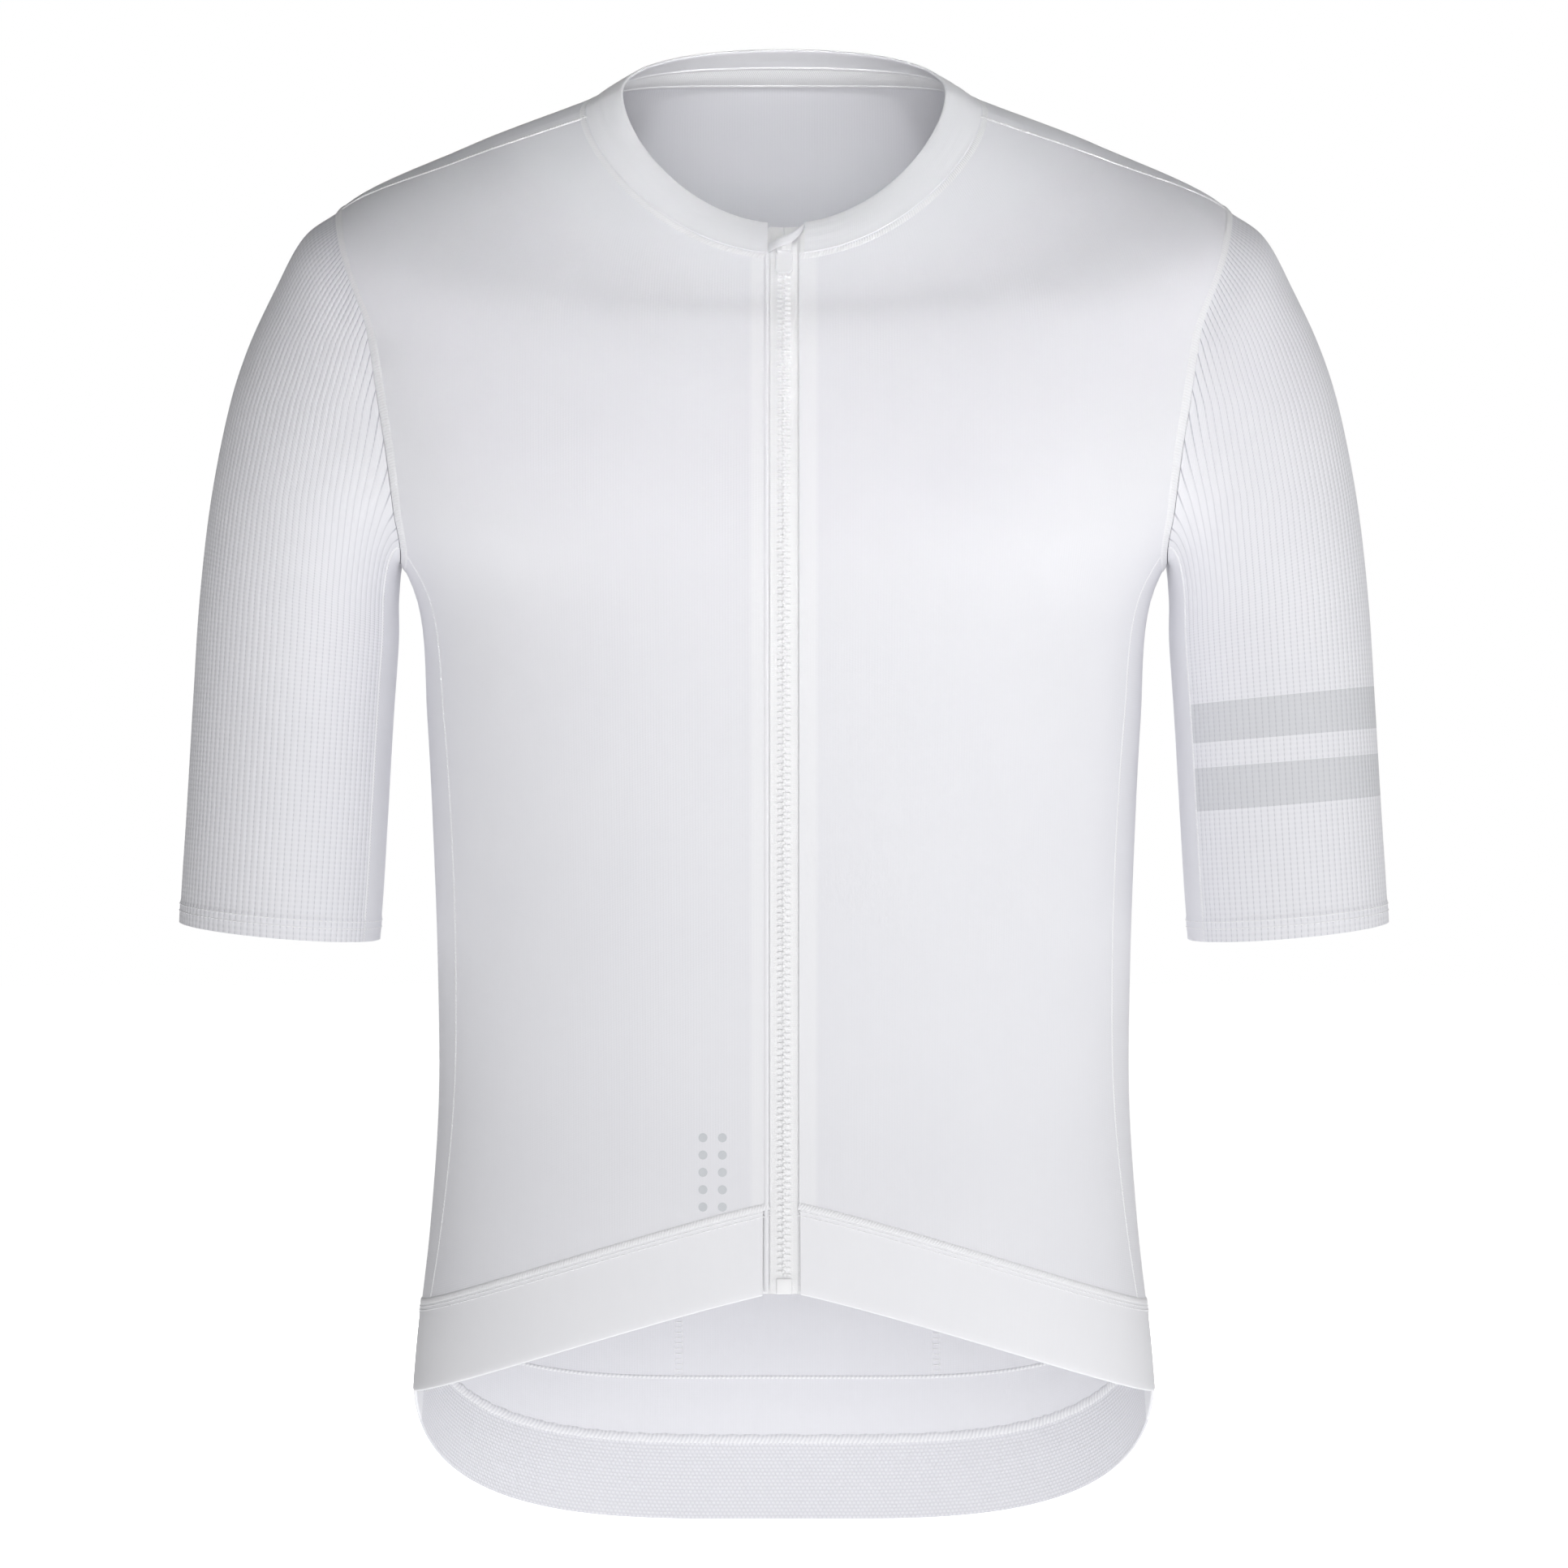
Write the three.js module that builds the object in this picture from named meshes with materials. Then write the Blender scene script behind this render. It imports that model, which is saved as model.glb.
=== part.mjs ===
// A short-sleeved cycling jersey in the form it takes when it is worn, hollow, with the front zip closed.
// Millimetres, +Z up. The front faces -Y, and the wearer's left side lies at +X.
// The origin lies midway between the two shoulders, level with the middle of the shoulder slopes.
import * as THREE from "three";

// Walls and gaps
const PANEL_WALL = 1.2;
const BAND_WALL = 1.6;
const TAPE_WALL = 1;
const SEAM_GAP = 0.3;

// Zip
const ZIP_EDGE = 7; // from the middle of the zip to the front panels' folded edges
const COLLAR_EDGE_RIGHT = 7.6; // the collar's plain end, on the wearer's right
const COLLAR_EDGE_LEFT = 9.5; // the collar's end that carries the garage flap
const TAPE_HALF = 15;
const TEETH_HALF = 3.1;
const TEETH_RISE = 0.5; // how far the teeth stand out past the front panels
const TEETH_END_GAP = { stop: 0.02, slider: 0.04 }; // in rings, to the bottom stop and to the slider
const TAPE_TOP = 0.9; // how far up the collar band the tapes reach, as a share of its height
const ZIP_DROP = 1; // how far the zip's lower end hangs below the hem bands' edge
const RETAINER = { halfWidth: 3.6, height: 6.6, rise: 1.3 };
const SLIDER = { width: 7.4, length: 8.4, cover: 1.1, bridgeWidth: 2.4, bridge: 1.3 };
const SLIDER_FOOT = 0.05; // how far up the collar band the slider's lower end sits, as a share of its height
const PULL = { width: 8.1, length: 12.4, wall: 1.1, neckWidth: 6.6, neckLength: 1.6, tipRadius: 2.4 };
const PULL_LIES_ALONG = 0.3; // how far below the neck seam the zip has the pull's slope, in rings
const PULL_CORNER_SEGMENTS = 5;
// The garage flap's edges run from its right to its left end, as shares of the collar band's height, and
// climb faster towards the left the higher their power is.
const GARAGE = {
  wall: 1.4, rise: 5, archPower: 2.4, columns: 10,
  lowerEdge: { from: 0.03, to: 0.81, power: 4 },
  upperEdge: { from: 0.3, to: 0.97, power: 3 },
};

// Hem
const HEM_FRONT_MIDDLE = -535; // the hem's lower edge beside the zip
const HEM_SIDE = -588; // the hem's lower edge straight below the arms
const HEM_BACK_MIDDLE = -662.5; // the lowest point of the dropped tail
const HEM_CHEVRON = 1.15; // 1 is a straight line from the zip to the side
const HEM_TAIL = 1.42; // 1 is an evenly sloping tail, more is squarer
const HEM_BAND = 42;
const GRIPPER_BAND = 37.5;

// Seams, as degrees round the body from the middle of the front
const SHOULDER_SEAM_AT_NECK = 85;
const SIDE_SEAM = {
  front: { bottom: 75, bow: -6 },
  back: { bottom: 100, bow: 4 },
};

// Rear pockets
const POCKET_SEAM_RIGHT = -52; // the stitched partition on the wearer's right
const POCKET_SEAM_LEFT = 75; // the stitched partition on the wearer's left
const POCKET_OUTER = 104; // degrees round the body to the pockets' outer edges
const POCKET_MOUTH = -436;
const POCKET_FOOT = { middle: -592.5, sideRise: 9, sideAt: 128, power: 4 };
const POCKET_BULGE = 9; // how far each pocket stands open at the middle of its mouth
const POCKET_GAP = 0.9; // between the back and the pockets' stitched edges
const POCKET_OPENING = 1.3; // 1 opens the pocket evenly from its foot to its mouth

// How finely the panels are divided
const ARMHOLE_STEPS = 36;
const SIDE_ROWS = 8;
const NECK_FRONT_STEPS = 8;
const NECK_BACK_STEPS = 12;
const SHOULDER_STEPS = 5;
const TOP_HOLD = 4; // how strongly the shoulder and neck edges are kept to the top of the panels
const BAND_ROWS = 2;
const SLEEVE_ROWS = 14;
const ZIP_ROWS = 20;
const POCKET_ROWS = 5;
const POCKET_COLUMNS = 6;

// Short steps over which normals are taken, as [degrees round, rings up]
const BODY_STEP = [0.4, 0.02];
const ZIP_STEP = [1, 0.05];
const SLEEVE_STEP = [1.5, 0.03];

// How often a place is halved or refined until it is exact
const HALVINGS = 40;
const REFINEMENTS = 5;

const COLOURS = {
  body: 0xe3e4ea,
  sleeve: 0xdfe0e6,
  band: 0xe6e7ec,
  gripper: 0xd9dae0,
  tape: 0xeceded,
  teeth: 0xf2f2f3,
};
const CLOTH_ROUGHNESS = 0.9;
const PLASTIC_ROUGHNESS = 0.45;

// A table's rows as objects, one value for each named column.
function table(columns, ...lines) {
  return lines.map((line) => Object.fromEntries(columns.map((name, i) => [name, line[i]])));
}

// The body, ring by ring from below the tail up to the neck seam. Each ring is a squared ellipse that
// tilts and bows from front to back; squareness 2 is a true ellipse, and straightBack 1 takes the bow
// out of its back half.
const TORSO_RINGS = table(
  [
    "level", "zFront", "zSide", "zBack", "halfWidth", "frontDepth", "backDepth", "squareness",
    "straightBack",
  ],
  ["below tail", -690, -690, -690, 178.5, 112, 119, 2.3, 0],
  ["tail", -630, -630, -630, 178.5, 111, 118, 2.3, 0],
  ["hip", -570, -570, -570, 175, 109.5, 116, 2.3, 0],
  ["low waist", -510, -510, -510, 168.4, 107, 110, 2.3, 0],
  ["waist", -450, -450, -450, 164.4, 104, 103, 2.3, 0],
  ["high waist", -390, -390, -390, 164.8, 105, 100, 2.3, 0],
  ["ribs", -330, -330, -330, 166.8, 108, 103, 2.3, 0],
  ["low chest", -270, -270, -270, 169.8, 112, 110, 2.35, 0],
  ["below armpit", -215, -213, -211, 174.6, 116, 117, 2.4, 0],
  ["chest", -180, -165, -160, 198, 117, 120, 2.5, 0],
  ["mid armhole", -150, -118, -112, 209, 114.5, 120, 2.55, 0],
  ["high armhole", -118, -70, -72, 215, 107, 114, 2.5, 0],
  ["shoulder point", -88, -29, -36, 213.5, 95, 101, 2.35, 0],
  ["mid shoulder", -72, -1.5, 3, 155, 84, 86, 2.15, 0],
  ["neck seam", -52.5, 21.5, 38, 94, 72, 66, 2, 0.5],
);
const NECK = TORSO_RINGS.length - 1;
const SHOULDER_POINT = TORSO_RINGS.findIndex((ring) => ring.level === "shoulder point");
const HIP = TORSO_RINGS.findIndex((ring) => ring.level === "hip");
const BESIDE_ZIP = 2; // degrees round the body, close beside the zip

const COLLAR_TOP = {
  zFront: -37, zSide: 31, zBack: 55.5, halfWidth: 77, frontDepth: 57, backDepth: 50, squareness: 2,
  straightBack: 0.8,
};
const COLLAR_BOW = 1.2; // how far the collar band rounds outwards between its edges

// The armhole on the body: where its lowest point lies and how far it reaches round to front and back.
const ARMHOLE = { bottom: 8.36, reach: 29, squareness: 2.6, lift: 0.7 };
const ARMHOLE_AT_SIDE_FRONT = 15; // the armhole step where the side panel's front seam ends
const ARMHOLE_AT_SIDE_BACK = 20;
const UNDERARM_STEPS = [15, 21]; // the armhole steps that bound the sleeve's plain inner strip

// The sleeve, ring by ring from the armhole down to the cuff. The outer point lies over the arm and the
// inner point beside the body; armholeShare fades the armhole's own outline into plain ovals.
const SLEEVE_RINGS = table(
  ["outerX", "outerZ", "innerX", "innerZ", "halfDepth", "centreY", "frontDrop", "armholeShare"],
  [213.5, -30, 182, -196.5, 60, 0, 0, 1],
  [229.5, -41.5, 182.5, -197.5, 61, 0, 0, 0.8],
  [243, -66, 182.8, -199.5, 61.5, 0, 0, 0.55],
  [255.5, -93, 183, -202.5, 61, 0, 0, 0.35],
  [264.5, -122, 183.2, -207, 59.5, -1, 0, 0.2],
  [273, -166, 183.6, -216, 57, -1.5, 0, 0.08],
  [278.3, -213, 183.6, -233, 54.5, -2, 0, 0],
  [281.3, -260, 186, -269, 52.5, -2.5, 0, 0],
  [284.2, -310, 188.8, -318, 51.5, -3, 0.5, 0],
  [286.4, -344, 190.8, -352, 50.5, -3.5, 1.5, 0],
  [287.6, -365.5, 192.6, -374, 50, -4, 3, 0],
);
const CUFF = SLEEVE_RINGS.length - 1;

const radians = THREE.MathUtils.degToRad;
const lerp = THREE.MathUtils.lerp;
const signedPower = (value, power) => Math.sign(value) * Math.abs(value) ** power;

// The smooth curve through four values in a row, between the second and the third.
function throughFour(a, b, c, d, t) {
  const pull = 2 * b + (c - a) * t + (2 * a - 5 * b + 4 * c - d) * t * t;
  return (pull + (3 * b - a - 3 * c + d) * t * t * t) / 2;
}

// One ring of a table at any place between its rows, counted in rows from the first.
function ringAt(rings, place) {
  const last = rings.length - 1;
  const from = Math.min(Math.max(Math.floor(place), 0), last - 1);
  const t = place - from;
  const b = rings[from];
  const c = rings[from + 1];
  const ring = {};
  for (const name of Object.keys(b).filter((key) => key !== "level")) {
    const a = from > 0 ? rings[from - 1][name] : 2 * b[name] - c[name];
    const d = from + 2 <= last ? rings[from + 2][name] : 2 * c[name] - b[name];
    ring[name] = throughFour(a, b[name], c[name], d, t);
  }
  return ring;
}

function ringPoint(ring, around) {
  const power = 2 / ring.squareness;
  const across = signedPower(Math.sin(radians(around)), power);
  const back = -signedPower(Math.cos(radians(around)), power);
  const depth = back < 0 ? ring.frontDepth : ring.backDepth;
  const tilt = (ring.zBack - ring.zFront) / 2;
  const bow = (ring.zBack + ring.zFront) / 2 - ring.zSide;
  const bowed = ring.zSide + tilt * back + bow * back * back;
  const straight = lerp(ring.zSide, ring.zBack, back);
  const z = back > 0 ? lerp(bowed, straight, ring.straightBack) : bowed;
  return new THREE.Vector3(ring.halfWidth * across, depth * back, z);
}

// The body's outer surface: degrees round from the middle of the front, and the place up the rings.
const torsoPoint = (around, up) => ringPoint(ringAt(TORSO_RINGS, up), around);

// The collar band's outer surface, from the neck seam at 0 to its top edge at 1.
function collarPoint(around, up) {
  const seam = ringPoint(TORSO_RINGS[NECK], around);
  const point = seam.lerp(ringPoint(COLLAR_TOP, around), up);
  const outward = new THREE.Vector3(point.x, point.y, 0).normalize();
  return point.addScaledVector(outward, COLLAR_BOW * Math.sin(Math.PI * up));
}

// The front and back of the neck, the body up to the neck seam and the collar above it.
const bodyPoint = (around, up) =>
  up <= NECK ? torsoPoint(around, up) : collarPoint(around, up - NECK);

// The outward normal of a surface function at one place.
function normalAt(surface, a, b, [stepA, stepB] = BODY_STEP) {
  const alongA = surface(a + stepA, b).sub(surface(a - stepA, b));
  const alongB = surface(a, b + stepB).sub(surface(a, b - stepB));
  return alongA.cross(alongB).normalize();
}

// The place up the rings at which the body reaches a height.
function upAtHeight(around, z) {
  let low = 0;
  let high = NECK;
  for (let i = 0; i < HALVINGS; i++) {
    const middle = (low + high) / 2;
    if (torsoPoint(around, middle).z < z) low = middle;
    else high = middle;
  }
  return (low + high) / 2;
}

// Degrees round the body at which it lies a given distance to the left of the middle, on the front.
function aroundAtX(ring, x) {
  const share = (Math.abs(x) / ring.halfWidth) ** (ring.squareness / 2);
  return Math.sign(x) * THREE.MathUtils.radToDeg(Math.asin(Math.min(share, 1)));
}
const frontAroundAtX = (x, up) =>
  aroundAtX(up <= NECK ? ringAt(TORSO_RINGS, up) : collarRing(up - NECK), x);
const backAroundAtX = (x, up) => 180 - aroundAtX(ringAt(TORSO_RINGS, up), x);

function collarRing(up) {
  const seam = TORSO_RINGS[NECK];
  const ring = {};
  for (const name of Object.keys(COLLAR_TOP)) ring[name] = lerp(seam[name], COLLAR_TOP[name], up);
  return ring;
}

// The hem's lower edge: a shallow chevron in front, a rounded tail behind.
function hemHeight(around, x) {
  const back = -Math.cos(radians(around));
  if (back <= 0) {
    const reach = Math.abs(x) / TORSO_RINGS[HIP].halfWidth;
    return lerp(HEM_FRONT_MIDDLE, HEM_SIDE, reach ** HEM_CHEVRON);
  }
  return lerp(HEM_SIDE, HEM_BACK_MIDDLE, 1 - (1 - back) ** HEM_TAIL);
}

// A place on the body at a height that depends on how far out it lies.
function placeAtHeight(around, heightOfX) {
  let x = 0;
  let up = 0;
  for (let i = 0; i < REFINEMENTS; i++) {
    up = upAtHeight(around, heightOfX(x));
    x = torsoPoint(around, up).x;
  }
  return [around, up];
}
const hemPlace = (around, above) => placeAtHeight(around, (x) => hemHeight(around, x) + above);

// The armhole, with 0 at the shoulder, 90 in front, 180 under the arm and 270 behind.
function armholePlace(turn) {
  const power = 2 / ARMHOLE.squareness;
  const middle = (SHOULDER_POINT + ARMHOLE.bottom) / 2;
  const half = (SHOULDER_POINT - ARMHOLE.bottom) / 2;
  const up = middle + half * signedPower(Math.cos(radians(turn)), power);
  const around = 90 - ARMHOLE.reach * signedPower(Math.sin(radians(turn)), power);
  return [around, up];
}
const armholeStep = (step) => armholePlace((360 / ARMHOLE_STEPS) * step);

// The left sleeve's outer surface, with the same turns as the armhole, from the armhole at 0 to the cuff.
function sleevePoint(turn, along) {
  const ring = ringAt(SLEEVE_RINGS, along);
  const point = sleeveOval(ring, turn);
  const share = Math.max(ring.armholeShare, 0);
  if (share > 0) {
    const start = sleeveOval(SLEEVE_RINGS[0], turn);
    const place = armholePlace(turn);
    const lift = (ARMHOLE.lift * (1 - Math.cos(radians(turn)))) / 2;
    const seam = torsoPoint(...place).addScaledVector(normalAt(torsoPoint, ...place), lift);
    point.addScaledVector(seam.sub(start), share);
  }
  return point;
}

function sleeveOval(ring, turn) {
  const outward = Math.cos(radians(turn));
  const forward = Math.sin(radians(turn));
  const x = (ring.outerX + ring.innerX) / 2 + ((ring.outerX - ring.innerX) / 2) * outward;
  const z = (ring.outerZ + ring.innerZ) / 2 + ((ring.outerZ - ring.innerZ) / 2) * outward;
  return new THREE.Vector3(x, ring.centreY - ring.halfDepth * forward, z - ring.frontDrop * forward);
}

const steps = (count) => Array.from({ length: count + 1 }, (_, i) => i / count);
const range = (from, to) => Array.from({ length: to - from + 1 }, (_, i) => from + i);
const mirrorPlace = ([around, up]) => [360 - around, up];

// How far along its whole length each place of a line of places lies, from 0 to 1.
function shares(places, column) {
  const first = places[0][column];
  const whole = places[places.length - 1][column] - first;
  return places.map((place) => (place[column] - first) / whole);
}

// Fills the four edges of a panel with places. Bottom and top run from left to right, left and right
// upwards. A higher topHold keeps the corners of the top edge from spreading down the panel.
function fillPanel(bottom, top, left, right, topHold = 1) {
  const acrossShares = shares(bottom, 0);
  const upShares = shares(left, 1).map((share) => share ** topHold);
  const blend = (i, j, axis) => {
    const s = acrossShares[i];
    const t = upShares[j];
    const rails = lerp(bottom[i][axis], top[i][axis], t) + lerp(left[j][axis], right[j][axis], s);
    const low = lerp(bottom[0][axis], bottom.at(-1)[axis], s);
    const high = lerp(top[0][axis], top.at(-1)[axis], s);
    return rails - lerp(low, high, t);
  };
  return left.map((_, j) => bottom.map((_, i) => [blend(i, j, 0), blend(i, j, 1)]));
}

// Points and normals of a surface at a grid of places, drawn in from all four edges by half a seam gap.
function skin(surface, places, step) {
  const normals = places.map((row) => row.map((place) => normalAt(surface, ...place, step)));
  const points = places.map((row) => row.map((place) => surface(...place)));
  return { points: drawIn(points), normals };
}

function drawIn(points) {
  const towards = (point, neighbour) =>
    point.clone().addScaledVector(neighbour.clone().sub(point).normalize(), SEAM_GAP / 2);
  const rows = points.map((row) => [
    towards(row[0], row[1]),
    ...row.slice(1, -1),
    towards(row.at(-1), row.at(-2)),
  ]);
  const lowest = rows[0].map((point, i) => towards(point, rows[1][i]));
  const highest = rows.at(-1).map((point, i) => towards(point, rows.at(-2)[i]));
  return [lowest, ...rows.slice(1, -1), highest];
}

// A closed wall on a skin, from an inner to an outer distance past it. Each distance may be a function of
// the shares across and up the panel.
function wall(sheet, inner, outer, side = 1) {
  const rowCount = sheet.points.length;
  const columnCount = sheet.points[0].length;
  const positions = [];
  const at = (distance, i, j) =>
    typeof distance === "function" ? distance(i / (columnCount - 1), j / (rowCount - 1)) : distance;
  for (const distance of [outer, inner]) {
    sheet.points.forEach((row, j) =>
      row.forEach((point, i) => {
        const moved = point.clone().addScaledVector(sheet.normals[j][i], at(distance, i, j));
        positions.push(moved.x * side, moved.y, moved.z);
      }),
    );
  }
  const layer = rowCount * columnCount;
  const outerIndex = (i, j) => j * columnCount + i;
  const innerIndex = (i, j) => layer + outerIndex(i, j);
  const faces = [];
  const quad = (a, b, c, d) => faces.push([a, b, c], [a, c, d]);
  const middleColumn = (columnCount - 1) / 2;
  for (let j = 0; j < rowCount - 1; j++) {
    for (let i = 0; i < columnCount - 1; i++) {
      const cell = [[i, j], [i + 1, j], [i + 1, j + 1], [i, j + 1]];
      if (i < middleColumn) cell.push(cell.shift()); // the two halves are divided as mirror images
      quad(...cell.map(([column, row]) => outerIndex(column, row)));
      quad(...cell.toReversed().map(([column, row]) => innerIndex(column, row)));
    }
  }
  const rim = [
    ...range(0, columnCount - 2).map((i) => [i, 0]),
    ...range(0, rowCount - 2).map((j) => [columnCount - 1, j]),
    ...range(1, columnCount - 1).reverse().map((i) => [i, rowCount - 1]),
    ...range(1, rowCount - 1).reverse().map((j) => [0, j]),
  ];
  rim.forEach(([i, j], n) => {
    const [nextI, nextJ] = rim[(n + 1) % rim.length];
    quad(outerIndex(nextI, nextJ), outerIndex(i, j), innerIndex(i, j), innerIndex(nextI, nextJ));
  });
  return solid(positions, faces);
}

// A geometry from points and faces, turned so that its faces point outwards.
function solid(positions, faces) {
  const corner = (index) => new THREE.Vector3().fromArray(positions, index * 3);
  const volume = faces.reduce(
    (sum, [a, b, c]) => sum + corner(a).dot(corner(b).cross(corner(c))),
    0,
  );
  const ordered = volume > 0 ? faces : faces.map(([a, b, c]) => [a, c, b]);
  const geometry = new THREE.BufferGeometry();
  geometry.setAttribute("position", new THREE.Float32BufferAttribute(positions, 3));
  geometry.setIndex(ordered.flat());
  return geometry;
}

const jersey = new THREE.Group();
jersey.name = "cycling_jersey";

function add(name, geometry, color, roughness = CLOTH_ROUGHNESS) {
  const material = new THREE.MeshStandardMaterial({ color, roughness, metalness: 0 });
  const mesh = new THREE.Mesh(geometry, material);
  mesh.name = name;
  jersey.add(mesh);
  return mesh;
}

// The seams, each a line of places on the left half of the body that both of its panels share.
const neckFront = steps(NECK_FRONT_STEPS).map((t) => [
  lerp(frontAroundAtX(ZIP_EDGE, NECK), SHOULDER_SEAM_AT_NECK, t),
  NECK,
]);
const neckBack = steps(NECK_BACK_STEPS).map((t) => [
  lerp(SHOULDER_SEAM_AT_NECK, 360 - SHOULDER_SEAM_AT_NECK, t),
  NECK,
]);
const shoulderSeam = steps(SHOULDER_STEPS).map((t) => [
  lerp(SHOULDER_SEAM_AT_NECK, armholeStep(0)[0], t),
  lerp(NECK, SHOULDER_POINT, t),
]);

function sideSeam({ bottom, bow }, above, armhole) {
  const foot = hemPlace(bottom, above);
  return steps(SIDE_ROWS).map((t) => [
    lerp(foot[0], armhole[0], t) + bow * 4 * t * (1 - t),
    lerp(foot[1], armhole[1], t),
  ]);
}
const sideFront = sideSeam(SIDE_SEAM.front, HEM_BAND, armholeStep(ARMHOLE_AT_SIDE_FRONT));
const sideBack = sideSeam(SIDE_SEAM.back, HEM_BAND, armholeStep(ARMHOLE_AT_SIDE_BACK));
const backSide = sideSeam(SIDE_SEAM.back, GRIPPER_BAND, armholeStep(ARMHOLE_AT_SIDE_BACK));

const frontColumns = NECK_FRONT_STEPS + SHOULDER_STEPS;
const sideColumns = ARMHOLE_AT_SIDE_BACK - ARMHOLE_AT_SIDE_FRONT;
const backColumns = NECK_BACK_STEPS + 2 * SHOULDER_STEPS;

// A line of places along the hem, a distance above its lower edge, from the zip or between two seams.
function hemLine(above, from, to, count) {
  return steps(count).map((t) => hemPlace(lerp(from, to, t), above));
}
const zipAroundAt = (height) => frontAroundAtX(ZIP_EDGE, upAtHeight(BESIDE_ZIP, height));
const frontBottom = hemLine(
  HEM_BAND,
  zipAroundAt(HEM_FRONT_MIDDLE + HEM_BAND),
  SIDE_SEAM.front.bottom,
  frontColumns,
);
const sideBottom = hemLine(HEM_BAND, SIDE_SEAM.front.bottom, SIDE_SEAM.back.bottom, sideColumns);

// Front panels
const frontRight = [
  ...sideFront,
  ...range(0, ARMHOLE_AT_SIDE_FRONT - 1).reverse().map(armholeStep),
];
const armholeFoot = sideFront.at(-1)[1];
const frontLeft = frontRight.map(([, up], j) => {
  if (j === 0) return frontBottom[0];
  const share = Math.max((up - armholeFoot) / (SHOULDER_POINT - armholeFoot), 0);
  const lowUp = lerp(frontBottom[0][1], armholeFoot, j / SIDE_ROWS);
  const zipUp = share > 0 ? lerp(armholeFoot, NECK, share) : lowUp;
  return [frontAroundAtX(ZIP_EDGE, zipUp), zipUp];
});
const frontTop = [...neckFront, ...shoulderSeam.slice(1)];
const frontPlaces = fillPanel(frontBottom, frontTop, frontLeft, frontRight, TOP_HOLD);
const frontSkin = skin(bodyPoint, frontPlaces);

// Side panels
const sideTop = range(ARMHOLE_AT_SIDE_FRONT, ARMHOLE_AT_SIDE_BACK).map(armholeStep);
const sideSkin = skin(torsoPoint, fillPanel(sideBottom, sideTop, sideFront, sideBack));

// Back panel
const backLeft = [...backSide, ...range(ARMHOLE_AT_SIDE_BACK + 1, ARMHOLE_STEPS).map(armholeStep)];
const backBottom = hemLine(GRIPPER_BAND, SIDE_SEAM.back.bottom, 360 - SIDE_SEAM.back.bottom, backColumns);
const backTop = [
  ...shoulderSeam.toReversed(),
  ...neckBack.slice(1, -1),
  ...shoulderSeam.map(mirrorPlace),
];
const backPlaces = fillPanel(backBottom, backTop, backLeft, backLeft.map(mirrorPlace), TOP_HOLD);
const backSkin = skin(bodyPoint, backPlaces);

// Hem bands: the folded front bands reach round to the side seams, the gripper band goes round the tail.
const bandTop = [...frontBottom, ...sideBottom.slice(1)];
const bandBottom = bandTop.map(([around]) => hemPlace(around, 0));
const bandEdge = (low, high) =>
  steps(BAND_ROWS).map((t) => [lerp(low[0], high[0], t), lerp(low[1], high[1], t)]);
const bandSkin = skin(
  torsoPoint,
  fillPanel(
    bandBottom,
    bandTop,
    bandEdge(bandBottom[0], bandTop[0]),
    bandEdge(bandBottom.at(-1), bandTop.at(-1)),
  ),
);
const gripperBottom = backBottom.map(([around]) => hemPlace(around, 0));
const gripperSkin = skin(
  torsoPoint,
  fillPanel(
    gripperBottom,
    backBottom,
    bandEdge(gripperBottom[0], backBottom[0]),
    bandEdge(gripperBottom.at(-1), backBottom.at(-1)),
  ),
);

// Sleeves
function sleeveSkin(fromStep, toStep) {
  const turns = range(fromStep, toStep).map((step) => (360 / ARMHOLE_STEPS) * step);
  const places = steps(SLEEVE_ROWS).map((t) => turns.map((turn) => [turn, CUFF * t]));
  return skin(sleevePoint, places, SLEEVE_STEP);
}
const upperSleeve = sleeveSkin(UNDERARM_STEPS[1] - ARMHOLE_STEPS, UNDERARM_STEPS[0]);
const underSleeve = sleeveSkin(...UNDERARM_STEPS);

for (const [side, sign] of [["left", 1], ["right", -1]]) {
  add(`front_${side}`, wall(frontSkin, -PANEL_WALL, 0, sign), COLOURS.body);
  add(`side_${side}`, wall(sideSkin, -PANEL_WALL, 0, sign), COLOURS.body);
  add(`hem_front_${side}`, wall(bandSkin, -PANEL_WALL, BAND_WALL - PANEL_WALL, sign), COLOURS.band);
  add(`sleeve_${side}`, wall(upperSleeve, -PANEL_WALL, 0, sign), COLOURS.sleeve);
  add(`sleeve_under_${side}`, wall(underSleeve, -PANEL_WALL, 0, sign), COLOURS.body);
}
add("back", wall(backSkin, -PANEL_WALL, 0), COLOURS.body);
add("hem_back", wall(gripperSkin, -BAND_WALL, 0), COLOURS.gripper);

// Collar band, from the zip on the wearer's left round the back to the zip on the right
const collarRows = steps(BAND_ROWS + 1);
const collarAround = [
  ...neckFront.map(([around]) => around),
  ...neckBack.slice(1, -1).map(([around]) => around),
  ...neckFront.map(([around]) => 360 - around).reverse(),
];
const collarEnds = (up) => [
  frontAroundAtX(COLLAR_EDGE_LEFT, NECK + up),
  360 - frontAroundAtX(COLLAR_EDGE_RIGHT, NECK + up),
];
const collarPlaces = collarRows.map((share) => {
  const [leftEnd, rightEnd] = collarEnds(share);
  return [leftEnd, ...collarAround.slice(1, -1), rightEnd].map((around) => [around, NECK + share]);
});
add("collar", wall(skin(bodyPoint, collarPlaces), -BAND_WALL, 0), COLOURS.band);

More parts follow.
